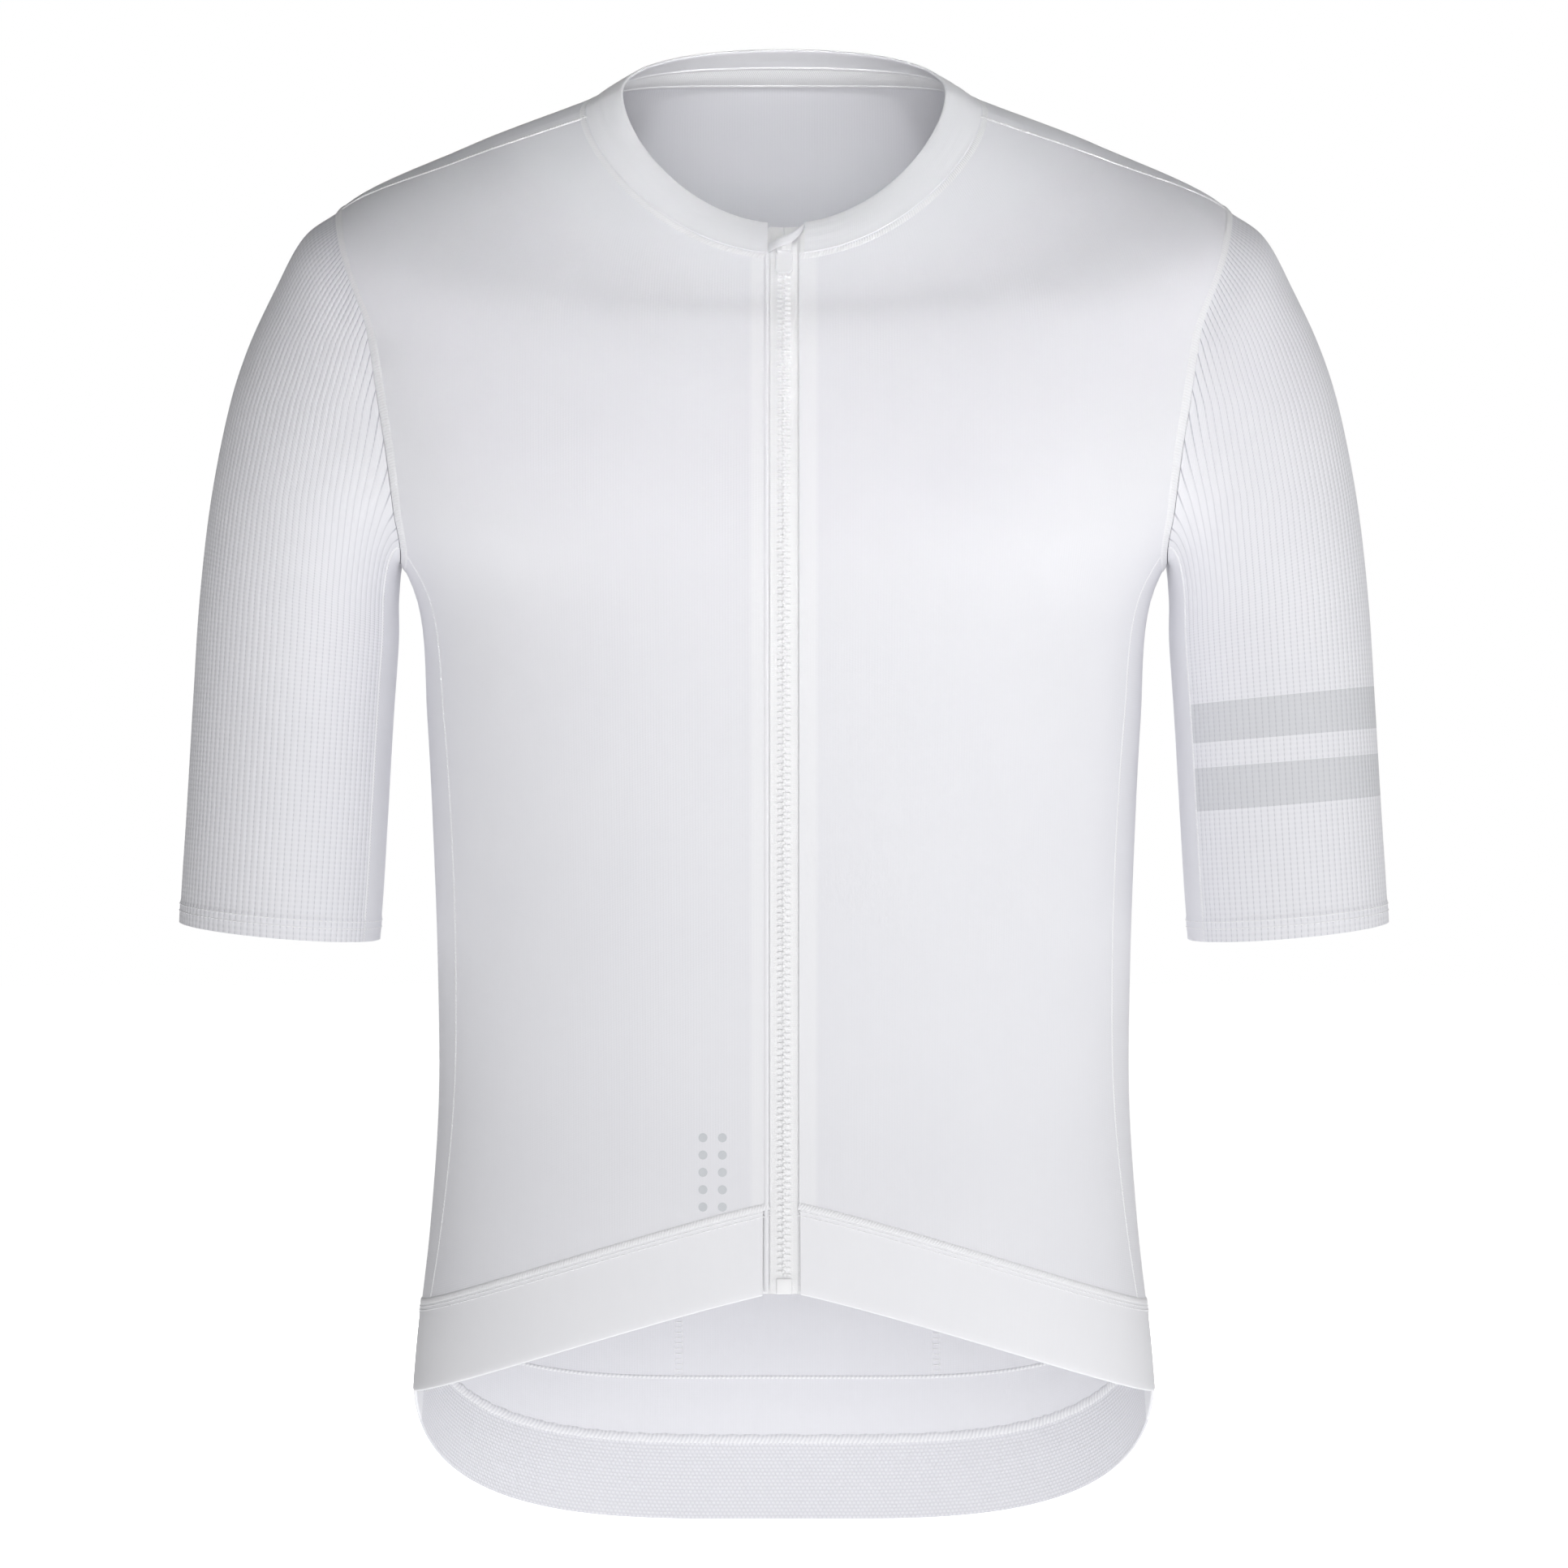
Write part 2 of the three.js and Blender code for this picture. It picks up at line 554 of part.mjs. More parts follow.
// Zip: the tapes lie under the folded edges, and the teeth stand on the tapes between those edges.
const zipBottomUp = upAtHeight(BESIDE_ZIP, HEM_FRONT_MIDDLE - ZIP_DROP);
function zipSkin(fromX, toX, fromUp, toUp, rows) {
  const places = steps(rows).map((t) => {
    const up = lerp(fromUp, toUp, t);
    return [fromX, toX].map((x) => [frontAroundAtX(x, up), up]);
  });
  const normals = places.map((row) => row.map(([, up]) => normalAt(bodyPoint, 0, up, ZIP_STEP)));
  const points = places.map((row) => row.map((place) => bodyPoint(...place)));
  return { points, normals };
}
const tapeFace = -(BAND_WALL + SEAM_GAP);
const teethFoot = tapeFace + SEAM_GAP;
const halfGap = SEAM_GAP / 2;
const tapeSkin = zipSkin(halfGap, TAPE_HALF, zipBottomUp, NECK + TAPE_TOP, ZIP_ROWS);

// A frame on the zip's middle line: across the zip, up along it and out of the cloth.
function zipFrame(up) {
  const out = normalAt(bodyPoint, 0, up, ZIP_STEP);
  const side = new THREE.Vector3(1, 0, 0);
  return { point: bodyPoint(0, up), side, out, along: new THREE.Vector3().crossVectors(out, side) };
}

// Places a mesh so that its own X, Y and Z run along three directions from a point.
function seat(mesh, point, x, y, z) {
  new THREE.Matrix4()
    .makeBasis(x, y, z)
    .setPosition(point)
    .decompose(mesh.position, mesh.quaternion, mesh.scale);
}

const sliderFoot = zipFrame(NECK + SLIDER_FOOT);
const retainerTop = upAtHeight(BESIDE_ZIP, HEM_FRONT_MIDDLE + RETAINER.height);
const teethSkin = zipSkin(
  halfGap,
  TEETH_HALF,
  retainerTop + TEETH_END_GAP.stop,
  NECK + SLIDER_FOOT - TEETH_END_GAP.slider,
  ZIP_ROWS,
);
for (const [side, sign] of [["left", 1], ["right", -1]]) {
  add(`zip_tape_${side}`, wall(tapeSkin, tapeFace - TAPE_WALL, tapeFace, sign), COLOURS.tape);
  add(`zip_teeth_${side}`, wall(teethSkin, teethFoot, TEETH_RISE, sign), COLOURS.teeth, PLASTIC_ROUGHNESS);
}
const retainerSkin = zipSkin(-RETAINER.halfWidth, RETAINER.halfWidth, zipBottomUp, retainerTop, 1);
add("zip_retainer", wall(retainerSkin, teethFoot, RETAINER.rise), COLOURS.teeth, PLASTIC_ROUGHNESS);

// Slider: a flat body over the teeth with the bridge that carries the pull along its middle
const sliderTop = TEETH_RISE + SLIDER.cover;
const sliderProfile = new THREE.Shape([
  new THREE.Vector2(-SLIDER.width / 2, teethFoot),
  new THREE.Vector2(SLIDER.width / 2, teethFoot),
  new THREE.Vector2(SLIDER.width / 2, sliderTop),
  new THREE.Vector2(SLIDER.bridgeWidth / 2, sliderTop),
  new THREE.Vector2(SLIDER.bridgeWidth / 2, sliderTop + SLIDER.bridge),
  new THREE.Vector2(-SLIDER.bridgeWidth / 2, sliderTop + SLIDER.bridge),
  new THREE.Vector2(-SLIDER.bridgeWidth / 2, sliderTop),
  new THREE.Vector2(-SLIDER.width / 2, sliderTop),
]);
const sliderShape = new THREE.ExtrudeGeometry(sliderProfile, { depth: SLIDER.length, bevelEnabled: false });
const slider = add("zip_slider", sliderShape, COLOURS.teeth, PLASTIC_ROUGHNESS);
const sliderHead = sliderFoot.point.clone().addScaledVector(sliderFoot.along, SLIDER.length);
seat(slider, sliderHead, sliderFoot.side, sliderFoot.out, sliderFoot.along.clone().negate());

// Pull tab, hung from its upper end just below the slider and lying along the zip under the neck seam
function pullOutline() {
  const { width, length, neckWidth, neckLength, tipRadius } = PULL;
  const neck = neckWidth / 2;
  const half = width / 2;
  const outline = new THREE.Shape();
  outline.moveTo(-neck, PULL.wall / 2);
  outline.lineTo(-neck, -neckLength);
  outline.lineTo(-half, -neckLength - (half - neck));
  outline.lineTo(-half, tipRadius - length);
  outline.absarc(tipRadius - half, tipRadius - length, tipRadius, Math.PI, 1.5 * Math.PI);
  outline.absarc(half - tipRadius, tipRadius - length, tipRadius, 1.5 * Math.PI, 2 * Math.PI);
  outline.lineTo(half, -neckLength - (half - neck));
  outline.lineTo(neck, -neckLength);
  outline.lineTo(neck, PULL.wall / 2);
  return outline;
}
const pullShape = new THREE.ExtrudeGeometry(pullOutline(), {
  depth: PULL.wall,
  bevelEnabled: false,
  curveSegments: PULL_CORNER_SEGMENTS,
});
pullShape.translate(0, 0, -PULL.wall / 2);
const pull = add("zip_pull", pullShape, COLOURS.teeth, PLASTIC_ROUGHNESS);
const rest = zipFrame(NECK - PULL_LIES_ALONG);
const restToSlider = sliderFoot.point.clone().sub(rest.point).dot(rest.along);
const pullPin = rest.point
  .clone()
  .addScaledVector(rest.along, restToSlider - SEAM_GAP - PULL.wall / 2)
  .addScaledVector(rest.out, TEETH_RISE + SEAM_GAP + PULL.wall / 2);
seat(pull, pullPin, rest.side, rest.along, rest.out);

// Garage flap: a narrow fold from the foot of the collar's plain end up to the top of its other end,
// arched over the slider
const garageEdge = ({ from, to, power }, s) => lerp(from, to, s ** power);
const garagePlaces = steps(2).map((t) =>
  steps(GARAGE.columns).map((s) => {
    const x = lerp(SEAM_GAP - COLLAR_EDGE_RIGHT, COLLAR_EDGE_LEFT - SEAM_GAP, s);
    const up = NECK + lerp(garageEdge(GARAGE.lowerEdge, s), garageEdge(GARAGE.upperEdge, s), t);
    return [frontAroundAtX(x, up), up];
  }),
);
const garageSkin = {
  points: garagePlaces.map((row) => row.map((place) => bodyPoint(...place))),
  normals: garagePlaces.map((row) => row.map(() => sliderFoot.out)),
};
const garageArch = (s) => GARAGE.rise * (1 - Math.abs(2 * s - 1) ** GARAGE.archPower);
add("zip_garage", wall(garageSkin, (s) => garageArch(s) - GARAGE.wall, garageArch), COLOURS.band);

// Rear pockets: three bags side by side on the back, stitched down at their foot and sides and
// standing open at the mouth
const pocketEdges = [
  () => POCKET_OUTER,
  (up) => backAroundAtX(POCKET_SEAM_LEFT, up),
  (up) => backAroundAtX(POCKET_SEAM_RIGHT, up),
  () => 360 - POCKET_OUTER,
];
const pocketFoot = (x) =>
  POCKET_FOOT.middle + POCKET_FOOT.sideRise * Math.abs(x / POCKET_FOOT.sideAt) ** POCKET_FOOT.power;

function pocketPlace(fromEdge, toEdge, s, t) {
  let up = upAtHeight(180, POCKET_MOUTH);
  let around = 180;
  for (let i = 0; i < REFINEMENTS; i++) {
    around = lerp(fromEdge(up), toEdge(up), s);
    const { x } = torsoPoint(around, up);
    up = upAtHeight(around, lerp(pocketFoot(x), POCKET_MOUTH, t));
  }
  return [around, up];
}

["left", "middle", "right"].forEach((name, i) => {
  const places = steps(POCKET_ROWS).map((t) =>
    steps(POCKET_COLUMNS).map((s) => pocketPlace(pocketEdges[i], pocketEdges[i + 1], s, t)),
  );
  const stand = (s, t) => POCKET_GAP + POCKET_BULGE * Math.sin(Math.PI * s) * t ** POCKET_OPENING;
  const outer = (s, t) => stand(s, t) + PANEL_WALL;
  add(`pocket_${name}`, wall(skin(torsoPoint, places), stand, outer), COLOURS.body);
});

export default jersey;
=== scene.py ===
"""A short-sleeved cycling jersey in its worn form: cloth, seams, zip and a plain studio."""

import math

import bpy
import numpy as np
from mathutils import Matrix, Vector


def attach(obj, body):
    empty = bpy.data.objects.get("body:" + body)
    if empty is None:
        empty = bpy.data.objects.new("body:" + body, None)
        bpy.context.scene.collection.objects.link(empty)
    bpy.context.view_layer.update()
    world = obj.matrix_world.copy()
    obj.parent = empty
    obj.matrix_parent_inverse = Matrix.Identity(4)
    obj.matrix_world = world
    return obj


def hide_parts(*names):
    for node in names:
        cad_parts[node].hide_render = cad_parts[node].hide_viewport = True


bl_info = {
    "name": "Cycling Jersey",
    "version": (1, 0, 0),
    "blender": (4, 5, 0),
    "location": "View3D > Sidebar > Jersey",
    "description": "Sews a short-sleeved cycling jersey with a full front zip in its worn form",
    "category": "Object",
}

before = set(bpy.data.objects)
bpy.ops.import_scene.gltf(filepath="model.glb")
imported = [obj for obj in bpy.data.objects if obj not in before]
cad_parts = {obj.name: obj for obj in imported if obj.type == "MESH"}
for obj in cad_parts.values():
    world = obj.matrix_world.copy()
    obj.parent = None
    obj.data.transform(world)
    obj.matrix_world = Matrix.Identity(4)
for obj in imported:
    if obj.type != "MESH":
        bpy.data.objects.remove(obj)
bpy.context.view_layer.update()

# All of the jersey's own sizes are in millimetres, and a mesh gets them in metres.
MM = 0.001

# The body's rings, from below the tail up to the neck seam. Columns: the height in front, at the side and
# behind, half the width, the depth in front and behind, how square the ring is, how straight its back rises.
TORSO_RINGS = np.array([
    (-690, -690, -690, 178.5, 112, 119, 2.3, 0),
    (-630, -630, -630, 178.5, 111, 118, 2.3, 0),
    (-570, -570, -570, 175, 109.5, 116, 2.3, 0),
    (-510, -510, -510, 168.4, 107, 110, 2.3, 0),
    (-450, -450, -450, 164.4, 104, 103, 2.3, 0),
    (-390, -390, -390, 164.8, 105, 100, 2.3, 0),
    (-330, -330, -330, 166.8, 108, 103, 2.3, 0),
    (-270, -270, -270, 169.8, 112, 110, 2.35, 0),
    (-215, -213, -211, 174.6, 116, 117, 2.4, 0),
    (-180, -165, -160, 198, 117, 120, 2.5, 0),
    (-150, -118, -112, 209, 114.5, 120, 2.55, 0),
    (-118, -70, -72, 215, 107, 114, 2.5, 0),
    (-88, -29, -36, 213.5, 95, 101, 2.35, 0),
    (-72, -1.5, 3, 155, 84, 86, 2.15, 0),
    (-52.5, 21.5, 38, 94, 72, 66, 2, 0.5),
])
NECK = len(TORSO_RINGS) - 1
SHOULDER_POINT = 12
COLLAR_TOP = np.array((-37, 31, 55.5, 77, 57, 50, 2, 0.8))
COLLAR_BOW = 1.2

# The left sleeve's ovals, from the armhole down to the cuff. Columns: the outer end's X and Z, the inner
# end's X and Z, half the depth, the middle's Y, how far the front drops, how much armhole shape is left.
SLEEVE_RINGS = np.array([
    (213.5, -30, 182, -196.5, 60, 0, 0, 1),
    (229.5, -41.5, 182.5, -197.5, 61, 0, 0, 0.8),
    (243, -66, 182.8, -199.5, 61.5, 0, 0, 0.55),
    (255.5, -93, 183, -202.5, 61, 0, 0, 0.35),
    (264.5, -122, 183.2, -207, 59.5, -1, 0, 0.2),
    (273, -166, 183.6, -216, 57, -1.5, 0, 0.08),
    (278.3, -213, 183.6, -233, 54.5, -2, 0, 0),
    (281.3, -260, 186, -269, 52.5, -2.5, 0, 0),
    (284.2, -310, 188.8, -318, 51.5, -3, 0.5, 0),
    (286.4, -344, 190.8, -352, 50.5, -3.5, 1.5, 0),
    (287.6, -365.5, 192.6, -374, 50, -4, 3, 0),
])
CUFF = len(SLEEVE_RINGS) - 1
ARMHOLE_BOTTOM, ARMHOLE_REACH, ARMHOLE_SQUARENESS, ARMHOLE_LIFT = 8.36, 29, 2.6, 0.7
ARMHOLE_STEPS = 36
ARMHOLE_AT_SIDE_FRONT, ARMHOLE_AT_SIDE_BACK = 15, 20
UNDERARM_TURNS = (150, 210)

# The zip: half widths, faces out of the cloth, and places up the body counted in rings
ZIP_EDGE = 7
TAPE_HALF, TAPE_FACE, TAPE_SEEN = 15, -1.9, -0.95
TEETH_FOOT, TEETH_RISE = -1.6, 0.5
SLIDER_UP = NECK + 0.05
TEETH_END = SLIDER_UP - 0.04
PULL_UP = NECK - 0.3
PULL_PIN = (0, -73.12, -51.7)
PULL_HALF, PULL_LENGTH, PULL_NECK, PULL_TIP = 4.05, 12.4, 1.6, 2.4
STOP_HALF, STOP_LENGTH, STOP_TOP = 3.6, 7.2, 1.3
SLIDER_HALF, SLIDER_LENGTH, SLIDER_TOP = 3.7, 8.4, 1.6
BRIDGE_HALF, BRIDGE_INSET, BRIDGE_TOP = 1.2, 0.5, 2.9
FLAP_RIGHT, FLAP_LEFT, FLAP_RISE = -7.3, 9.2, 5

# Seams and edges: heights, degrees round the body from the middle of the front, and bows
HEM_FRONT_MIDDLE, HEM_SIDE, HEM_BACK_MIDDLE = -535, -588, -662.5
HEM_CHEVRON, HEM_TAIL = 1.15, 1.42
HEM_BAND, GRIPPER_BAND = 42, 37.5
SHOULDER_SEAM_AT_NECK = 85
SIDE_FRONT_BOTTOM, SIDE_FRONT_BOW = 75, -6
SIDE_BACK_BOTTOM, SIDE_BACK_BOW = 100, 4
POCKET_SEAM_RIGHT, POCKET_SEAM_LEFT, POCKET_OUTER = -52, 75, 104
POCKET_MOUTH = -436
POCKET_FOOT, POCKET_FOOT_RISE, POCKET_FOOT_AT, POCKET_FOOT_POWER = -592.5, 9, 128, 4
POCKET_BULGE, POCKET_GAP, POCKET_OPENING = 9, 0.9, 1.3
TOP_HOLD = 4
COLLAR_FACE = 0.965  # how much of the collar's height its face takes, up to the fold
CUFF_HEM, CUFF_HEM_RISE = 11, 0.3

# Thickness of each cloth. The body's knit is a setting.
SLEEVE_WALL, POCKET_WALL, GRIPPER_WALL, FLAP_WALL = 0.7, 0.7, 1.2, 1.1
BAND_WALL, BAND_DEPTH = 0.45, 1.6
NECK_TAPE_WALL, ZIP_TAPE_WALL, SEAM_WALL = 0.5, 0.6, 0.3

# How finely the cloth is divided
FINE = 6
NECK_FRONT_STEPS, NECK_BACK_STEPS, SHOULDER_STEPS, SIDE_ROWS = 8 * FINE, 12 * FINE, 5 * FINE, 8 * FINE
POCKET_COLUMNS, POCKET_ROWS = 48, 40
RIBS = 80
RIB_AXIS = 48  # from the outside of the arm in to the line that the ribs run round

# The studio, in metres
CAMERA_DISTANCE = 3.5
CAMERA_HEIGHT = -0.3003
VIEW_WIDTH = 0.7477
FLOOR_HEIGHT = -0.78


# Surfaces of the worn form


def signed_power(value, power):
    return np.sign(value) * np.abs(value) ** power


def blend(a, b, t):
    return a + (b - a) * t


def unit(vectors):
    return vectors / np.linalg.norm(vectors, axis=-1, keepdims=True)


def steps(count):
    return np.linspace(0, 1, count + 1)


def ring_at(rings, place):
    """A ring table's values at any place between its rows, counted in rows from the first."""
    padded = np.vstack([2 * rings[0] - rings[1], rings, 2 * rings[-1] - rings[-2]])
    place = np.asarray(place, float)
    start = np.clip(np.floor(place), 0, len(rings) - 2).astype(int)
    t = (place - start)[..., None]
    a, b, c, d = (padded[start + step] for step in range(4))
    return b + (t * (c - a) + t**2 * (2 * a - 5 * b + 4 * c - d) + t**3 * (3 * b - a - 3 * c + d)) / 2


def ring_point(ring, around):
    """A point on a squared ellipse that tilts and bows, at degrees round from the middle of the front."""
    z_front, z_side, z_back, half_width, front_depth, back_depth, squareness, straight = (
        np.moveaxis(ring, -1, 0)
    )
    angle = np.radians(around)
    across = signed_power(np.sin(angle), 2 / squareness)
    back = -signed_power(np.cos(angle), 2 / squareness)
    depth = np.where(back < 0, front_depth, back_depth)
    bow = (z_back + z_front) / 2 - z_side
    bowed = z_side + (z_back - z_front) / 2 * back + bow * back**2
    z = np.where(back > 0, blend(bowed, blend(z_side, z_back, back), straight), bowed)
    return np.stack(np.broadcast_arrays(half_width * across, depth * back, z), -1)


def body_point(around, up):
    """The body's outer surface up to the neck seam, and the collar band above it."""
    around, up = np.broadcast_arrays(np.asarray(around, float), np.asarray(up, float))
    torso = ring_point(ring_at(TORSO_RINGS, np.minimum(up, NECK)), around)
    share = (up - NECK)[..., None]
    seam = ring_point(TORSO_RINGS[NECK], around)
    collar = blend(seam, ring_point(COLLAR_TOP, around), share)
    outward = unit(collar * (1, 1, 0))
    collar = collar + outward * COLLAR_BOW * np.sin(np.pi * share)
    return np.where(share <= 0, torso, collar)


def torso_point(around, up):
    return ring_point(ring_at(TORSO_RINGS, up), around)


def normal_at(surface, around, up, step_around=0.4, step_up=0.02):
    along_around = surface(around + step_around, up) - surface(around - step_around, up)
    along_up = surface(around, up + step_up) - surface(around, up - step_up)
    return unit(np.cross(along_around, along_up))


def up_at_height(around, z):
    """The place up the rings at which the body reaches a height."""
    around, z = np.broadcast_arrays(np.asarray(around, float), np.asarray(z, float))
    low, high = np.zeros(z.shape), np.full(z.shape, float(NECK))
    for _ in range(40):
        middle = (low + high) / 2
        below = torso_point(around, middle)[..., 2] < z
        low, high = np.where(below, middle, low), np.where(below, high, middle)
    return (low + high) / 2


def around_at_x(x, up):
    """Degrees round the body, on the front, at a distance to the left of the middle."""
    x, up = np.broadcast_arrays(np.asarray(x, float), np.asarray(up, float))
    share = np.clip(up - NECK, 0, 1)[..., None]
    ring = blend(ring_at(TORSO_RINGS, np.minimum(up, NECK)), COLLAR_TOP, share)
    reach = np.minimum((np.abs(x) / ring[..., 3]) ** (ring[..., 6] / 2), 1)
    return np.sign(x) * np.degrees(np.arcsin(reach))


def hem_height(around, x):
    """The hem's lower edge: a shallow chevron in front, a rounded tail behind."""
    back = -np.cos(np.radians(around))
    front = blend(HEM_FRONT_MIDDLE, HEM_SIDE, (np.abs(x) / TORSO_RINGS[2][3]) ** HEM_CHEVRON)
    tail = blend(HEM_SIDE, HEM_BACK_MIDDLE, 1 - (1 - np.maximum(back, 0)) ** HEM_TAIL)
    return np.where(back <= 0, front, tail)


def hem_place(around, above):
    """Places at a distance above the hem's lower edge."""
    around = np.asarray(around, float)
    x = np.zeros(around.shape)
    for _ in range(4):
        up = up_at_height(around, hem_height(around, x) + above)
        x = torso_point(around, up)[..., 0]
    return np.stack([around, up], -1)


def armhole_place(turn):
    """The armhole: 0 at the shoulder, 90 in front, 180 under the arm and 270 behind."""
    power = 2 / ARMHOLE_SQUARENESS
    middle, half = (SHOULDER_POINT + ARMHOLE_BOTTOM) / 2, (SHOULDER_POINT - ARMHOLE_BOTTOM) / 2
    up = middle + half * signed_power(np.cos(np.radians(turn)), power)
    around = 90 - ARMHOLE_REACH * signed_power(np.sin(np.radians(turn)), power)
    return np.stack([around, up], -1)


def sleeve_oval(ring, turn):
    outward, forward = np.cos(np.radians(turn)), np.sin(np.radians(turn))
    outer_x, outer_z, inner_x, inner_z, half_depth, centre_y, front_drop = np.moveaxis(ring, -1, 0)[:7]
    return np.stack(np.broadcast_arrays(
        (outer_x + inner_x) / 2 + (outer_x - inner_x) / 2 * outward,
        centre_y - half_depth * forward,
        (outer_z + inner_z) / 2 + (outer_z - inner_z) / 2 * outward - front_drop * forward,
    ), -1)


def sleeve_point(turn, along):
    """The left sleeve's outer surface, from the armhole at 0 to the cuff."""
    turn, along = np.broadcast_arrays(np.asarray(turn, float), np.asarray(along, float))
    ring = ring_at(SLEEVE_RINGS, along)
    place = armhole_place(turn)
    lift = ARMHOLE_LIFT * (1 - np.cos(np.radians(turn))) / 2
    normal = normal_at(torso_point, place[..., 0], place[..., 1])
    seam = torso_point(place[..., 0], place[..., 1]) + normal * lift[..., None]
    shift = seam - sleeve_oval(SLEEVE_RINGS[0], turn)
    return sleeve_oval(ring, turn) + shift * np.maximum(ring[..., 7:], 0)


def fill_panel(bottom, top, left, right, top_hold=1):
    """Fills the four edges of a panel with places, rows upwards and columns from left to right."""
    s = ((bottom[:, 0] - bottom[0, 0]) / (bottom[-1, 0] - bottom[0, 0]))[None, :, None]
    t = ((left[:, 1] - left[0, 1]) / (left[-1, 1] - left[0, 1]))[:, None, None] ** top_hold
    rails = blend(bottom[None], top[None], t) + blend(left[:, None], right[:, None], s)
    return rails - blend(blend(bottom[0], bottom[-1], s), blend(top[0], top[-1], s), t)


def split(places):
    return places[..., 0], places[..., 1]


def mirror_places(places):
    return places * (-1, 1) + (360, 0)


# Seam lines, on the wearer's left half

ARMHOLE = armhole_place(np.linspace(0, 360, ARMHOLE_STEPS * FINE + 1))
NECK_FRONT = np.stack([
    blend(around_at_x(ZIP_EDGE, NECK), SHOULDER_SEAM_AT_NECK, steps(NECK_FRONT_STEPS)),
    np.full(NECK_FRONT_STEPS + 1, float(NECK)),
], -1)
NECK_BACK = np.stack([
    blend(SHOULDER_SEAM_AT_NECK, 360 - SHOULDER_SEAM_AT_NECK, steps(NECK_BACK_STEPS)),
    np.full(NECK_BACK_STEPS + 1, float(NECK)),
], -1)
SHOULDER_SEAM = blend(NECK_FRONT[-1], ARMHOLE[0], steps(SHOULDER_STEPS)[:, None])


def side_seam(bottom, bow, above, armhole):
    t = steps(SIDE_ROWS)[:, None]
    return blend(hem_place(bottom, above), armhole, t) + bow * 4 * t * (1 - t) * np.array((1, 0))


FRONT_FOOT = ARMHOLE[ARMHOLE_AT_SIDE_FRONT * FINE]
BACK_FOOT = ARMHOLE[ARMHOLE_AT_SIDE_BACK * FINE]
SIDE_FRONT = side_seam(SIDE_FRONT_BOTTOM, SIDE_FRONT_BOW, HEM_BAND, FRONT_FOOT)
SIDE_BACK = side_seam(SIDE_BACK_BOTTOM, SIDE_BACK_BOW, HEM_BAND, BACK_FOOT)
BACK_SIDE = side_seam(SIDE_BACK_BOTTOM, SIDE_BACK_BOW, GRIPPER_BAND, BACK_FOOT)


def hem_line(above, start, end, count):
    return hem_place(blend(start, end, steps(count)), above)


def zip_around_at(x, z):
    return around_at_x(x, up_at_height(2, z))


FRONT_COLUMNS = NECK_FRONT_STEPS + SHOULDER_STEPS
SIDE_COLUMNS = (ARMHOLE_AT_SIDE_BACK - ARMHOLE_AT_SIDE_FRONT) * FINE
BACK_COLUMNS = NECK_BACK_STEPS + 2 * SHOULDER_STEPS
FRONT_BOTTOM = hem_line(
    HEM_BAND, zip_around_at(ZIP_EDGE, HEM_FRONT_MIDDLE + HEM_BAND), SIDE_FRONT_BOTTOM, FRONT_COLUMNS,
)
SIDE_BOTTOM = hem_line(HEM_BAND, SIDE_FRONT_BOTTOM, SIDE_BACK_BOTTOM, SIDE_COLUMNS)


def front_places():
    right = np.concatenate([SIDE_FRONT, ARMHOLE[: ARMHOLE_AT_SIDE_FRONT * FINE][::-1]])
    foot = SIDE_FRONT[-1, 1]
    share = np.maximum((right[:, 1] - foot) / (SHOULDER_POINT - foot), 0)
    low = blend(FRONT_BOTTOM[0, 1], foot, np.arange(len(right)) / SIDE_ROWS)
    zip_up = np.where(share > 0, blend(foot, NECK, share), low)
    left = np.stack([around_at_x(ZIP_EDGE, zip_up), zip_up], -1)
    left[0] = FRONT_BOTTOM[0]
    top = np.concatenate([NECK_FRONT, SHOULDER_SEAM[1:]])
    return fill_panel(FRONT_BOTTOM, top, left, right, TOP_HOLD)


def side_places():
    top = ARMHOLE[ARMHOLE_AT_SIDE_FRONT * FINE: ARMHOLE_AT_SIDE_BACK * FINE + 1]
    return fill_panel(SIDE_BOTTOM, top, SIDE_FRONT, SIDE_BACK)


def back_places():
    left = np.concatenate([BACK_SIDE, ARMHOLE[ARMHOLE_AT_SIDE_BACK * FINE + 1:]])
    bottom = hem_line(GRIPPER_BAND, SIDE_BACK_BOTTOM, 360 - SIDE_BACK_BOTTOM, BACK_COLUMNS)
    top = np.concatenate([SHOULDER_SEAM[::-1], NECK_BACK[1:-1], mirror_places(SHOULDER_SEAM)])
    return fill_panel(bottom, top, left, mirror_places(left), TOP_HOLD)


# Making and finishing pieces


def cloth_uv(points, origin_column=0):
    """Lengths over the cloth, across from one column and up from the lowest row."""
    across = np.linalg.norm(np.diff(points, axis=1), axis=-1)
    across = np.concatenate([np.zeros((len(points), 1)), np.cumsum(across, axis=1)], axis=1)
    across -= across[:, origin_column: origin_column + 1]
    up = np.linalg.norm(np.diff(points, axis=0), axis=-1)
    up = np.concatenate([np.zeros((1, points.shape[1])), np.cumsum(up, axis=0)])
    return np.stack([across, up], -1)


def mirrored(grid):
    """The same grid of points for the wearer's right, with its faces still turned outwards."""
    return grid[:, ::-1] * (-1, 1, 1)


def apply_modifier(piece, kind, **settings):
    bpy.context.view_layer.objects.active = piece
    modifier = piece.modifiers.new(kind.title(), kind)
    for name, value in settings.items():
        setattr(modifier, name, value)
    bpy.ops.object.modifier_apply(modifier=modifier.name)


def select_only(*pieces):
    """Selects these pieces alone, or nothing, and makes the first one active."""
    bpy.ops.object.select_all(action="DESELECT")
    for piece in pieces:
        piece.select_set(True)
    if pieces:
        bpy.context.view_layer.objects.active = pieces[0]


def smooth(piece, angle=60):
    select_only(piece)
    bpy.ops.object.shade_smooth_by_angle(angle=math.radians(angle))


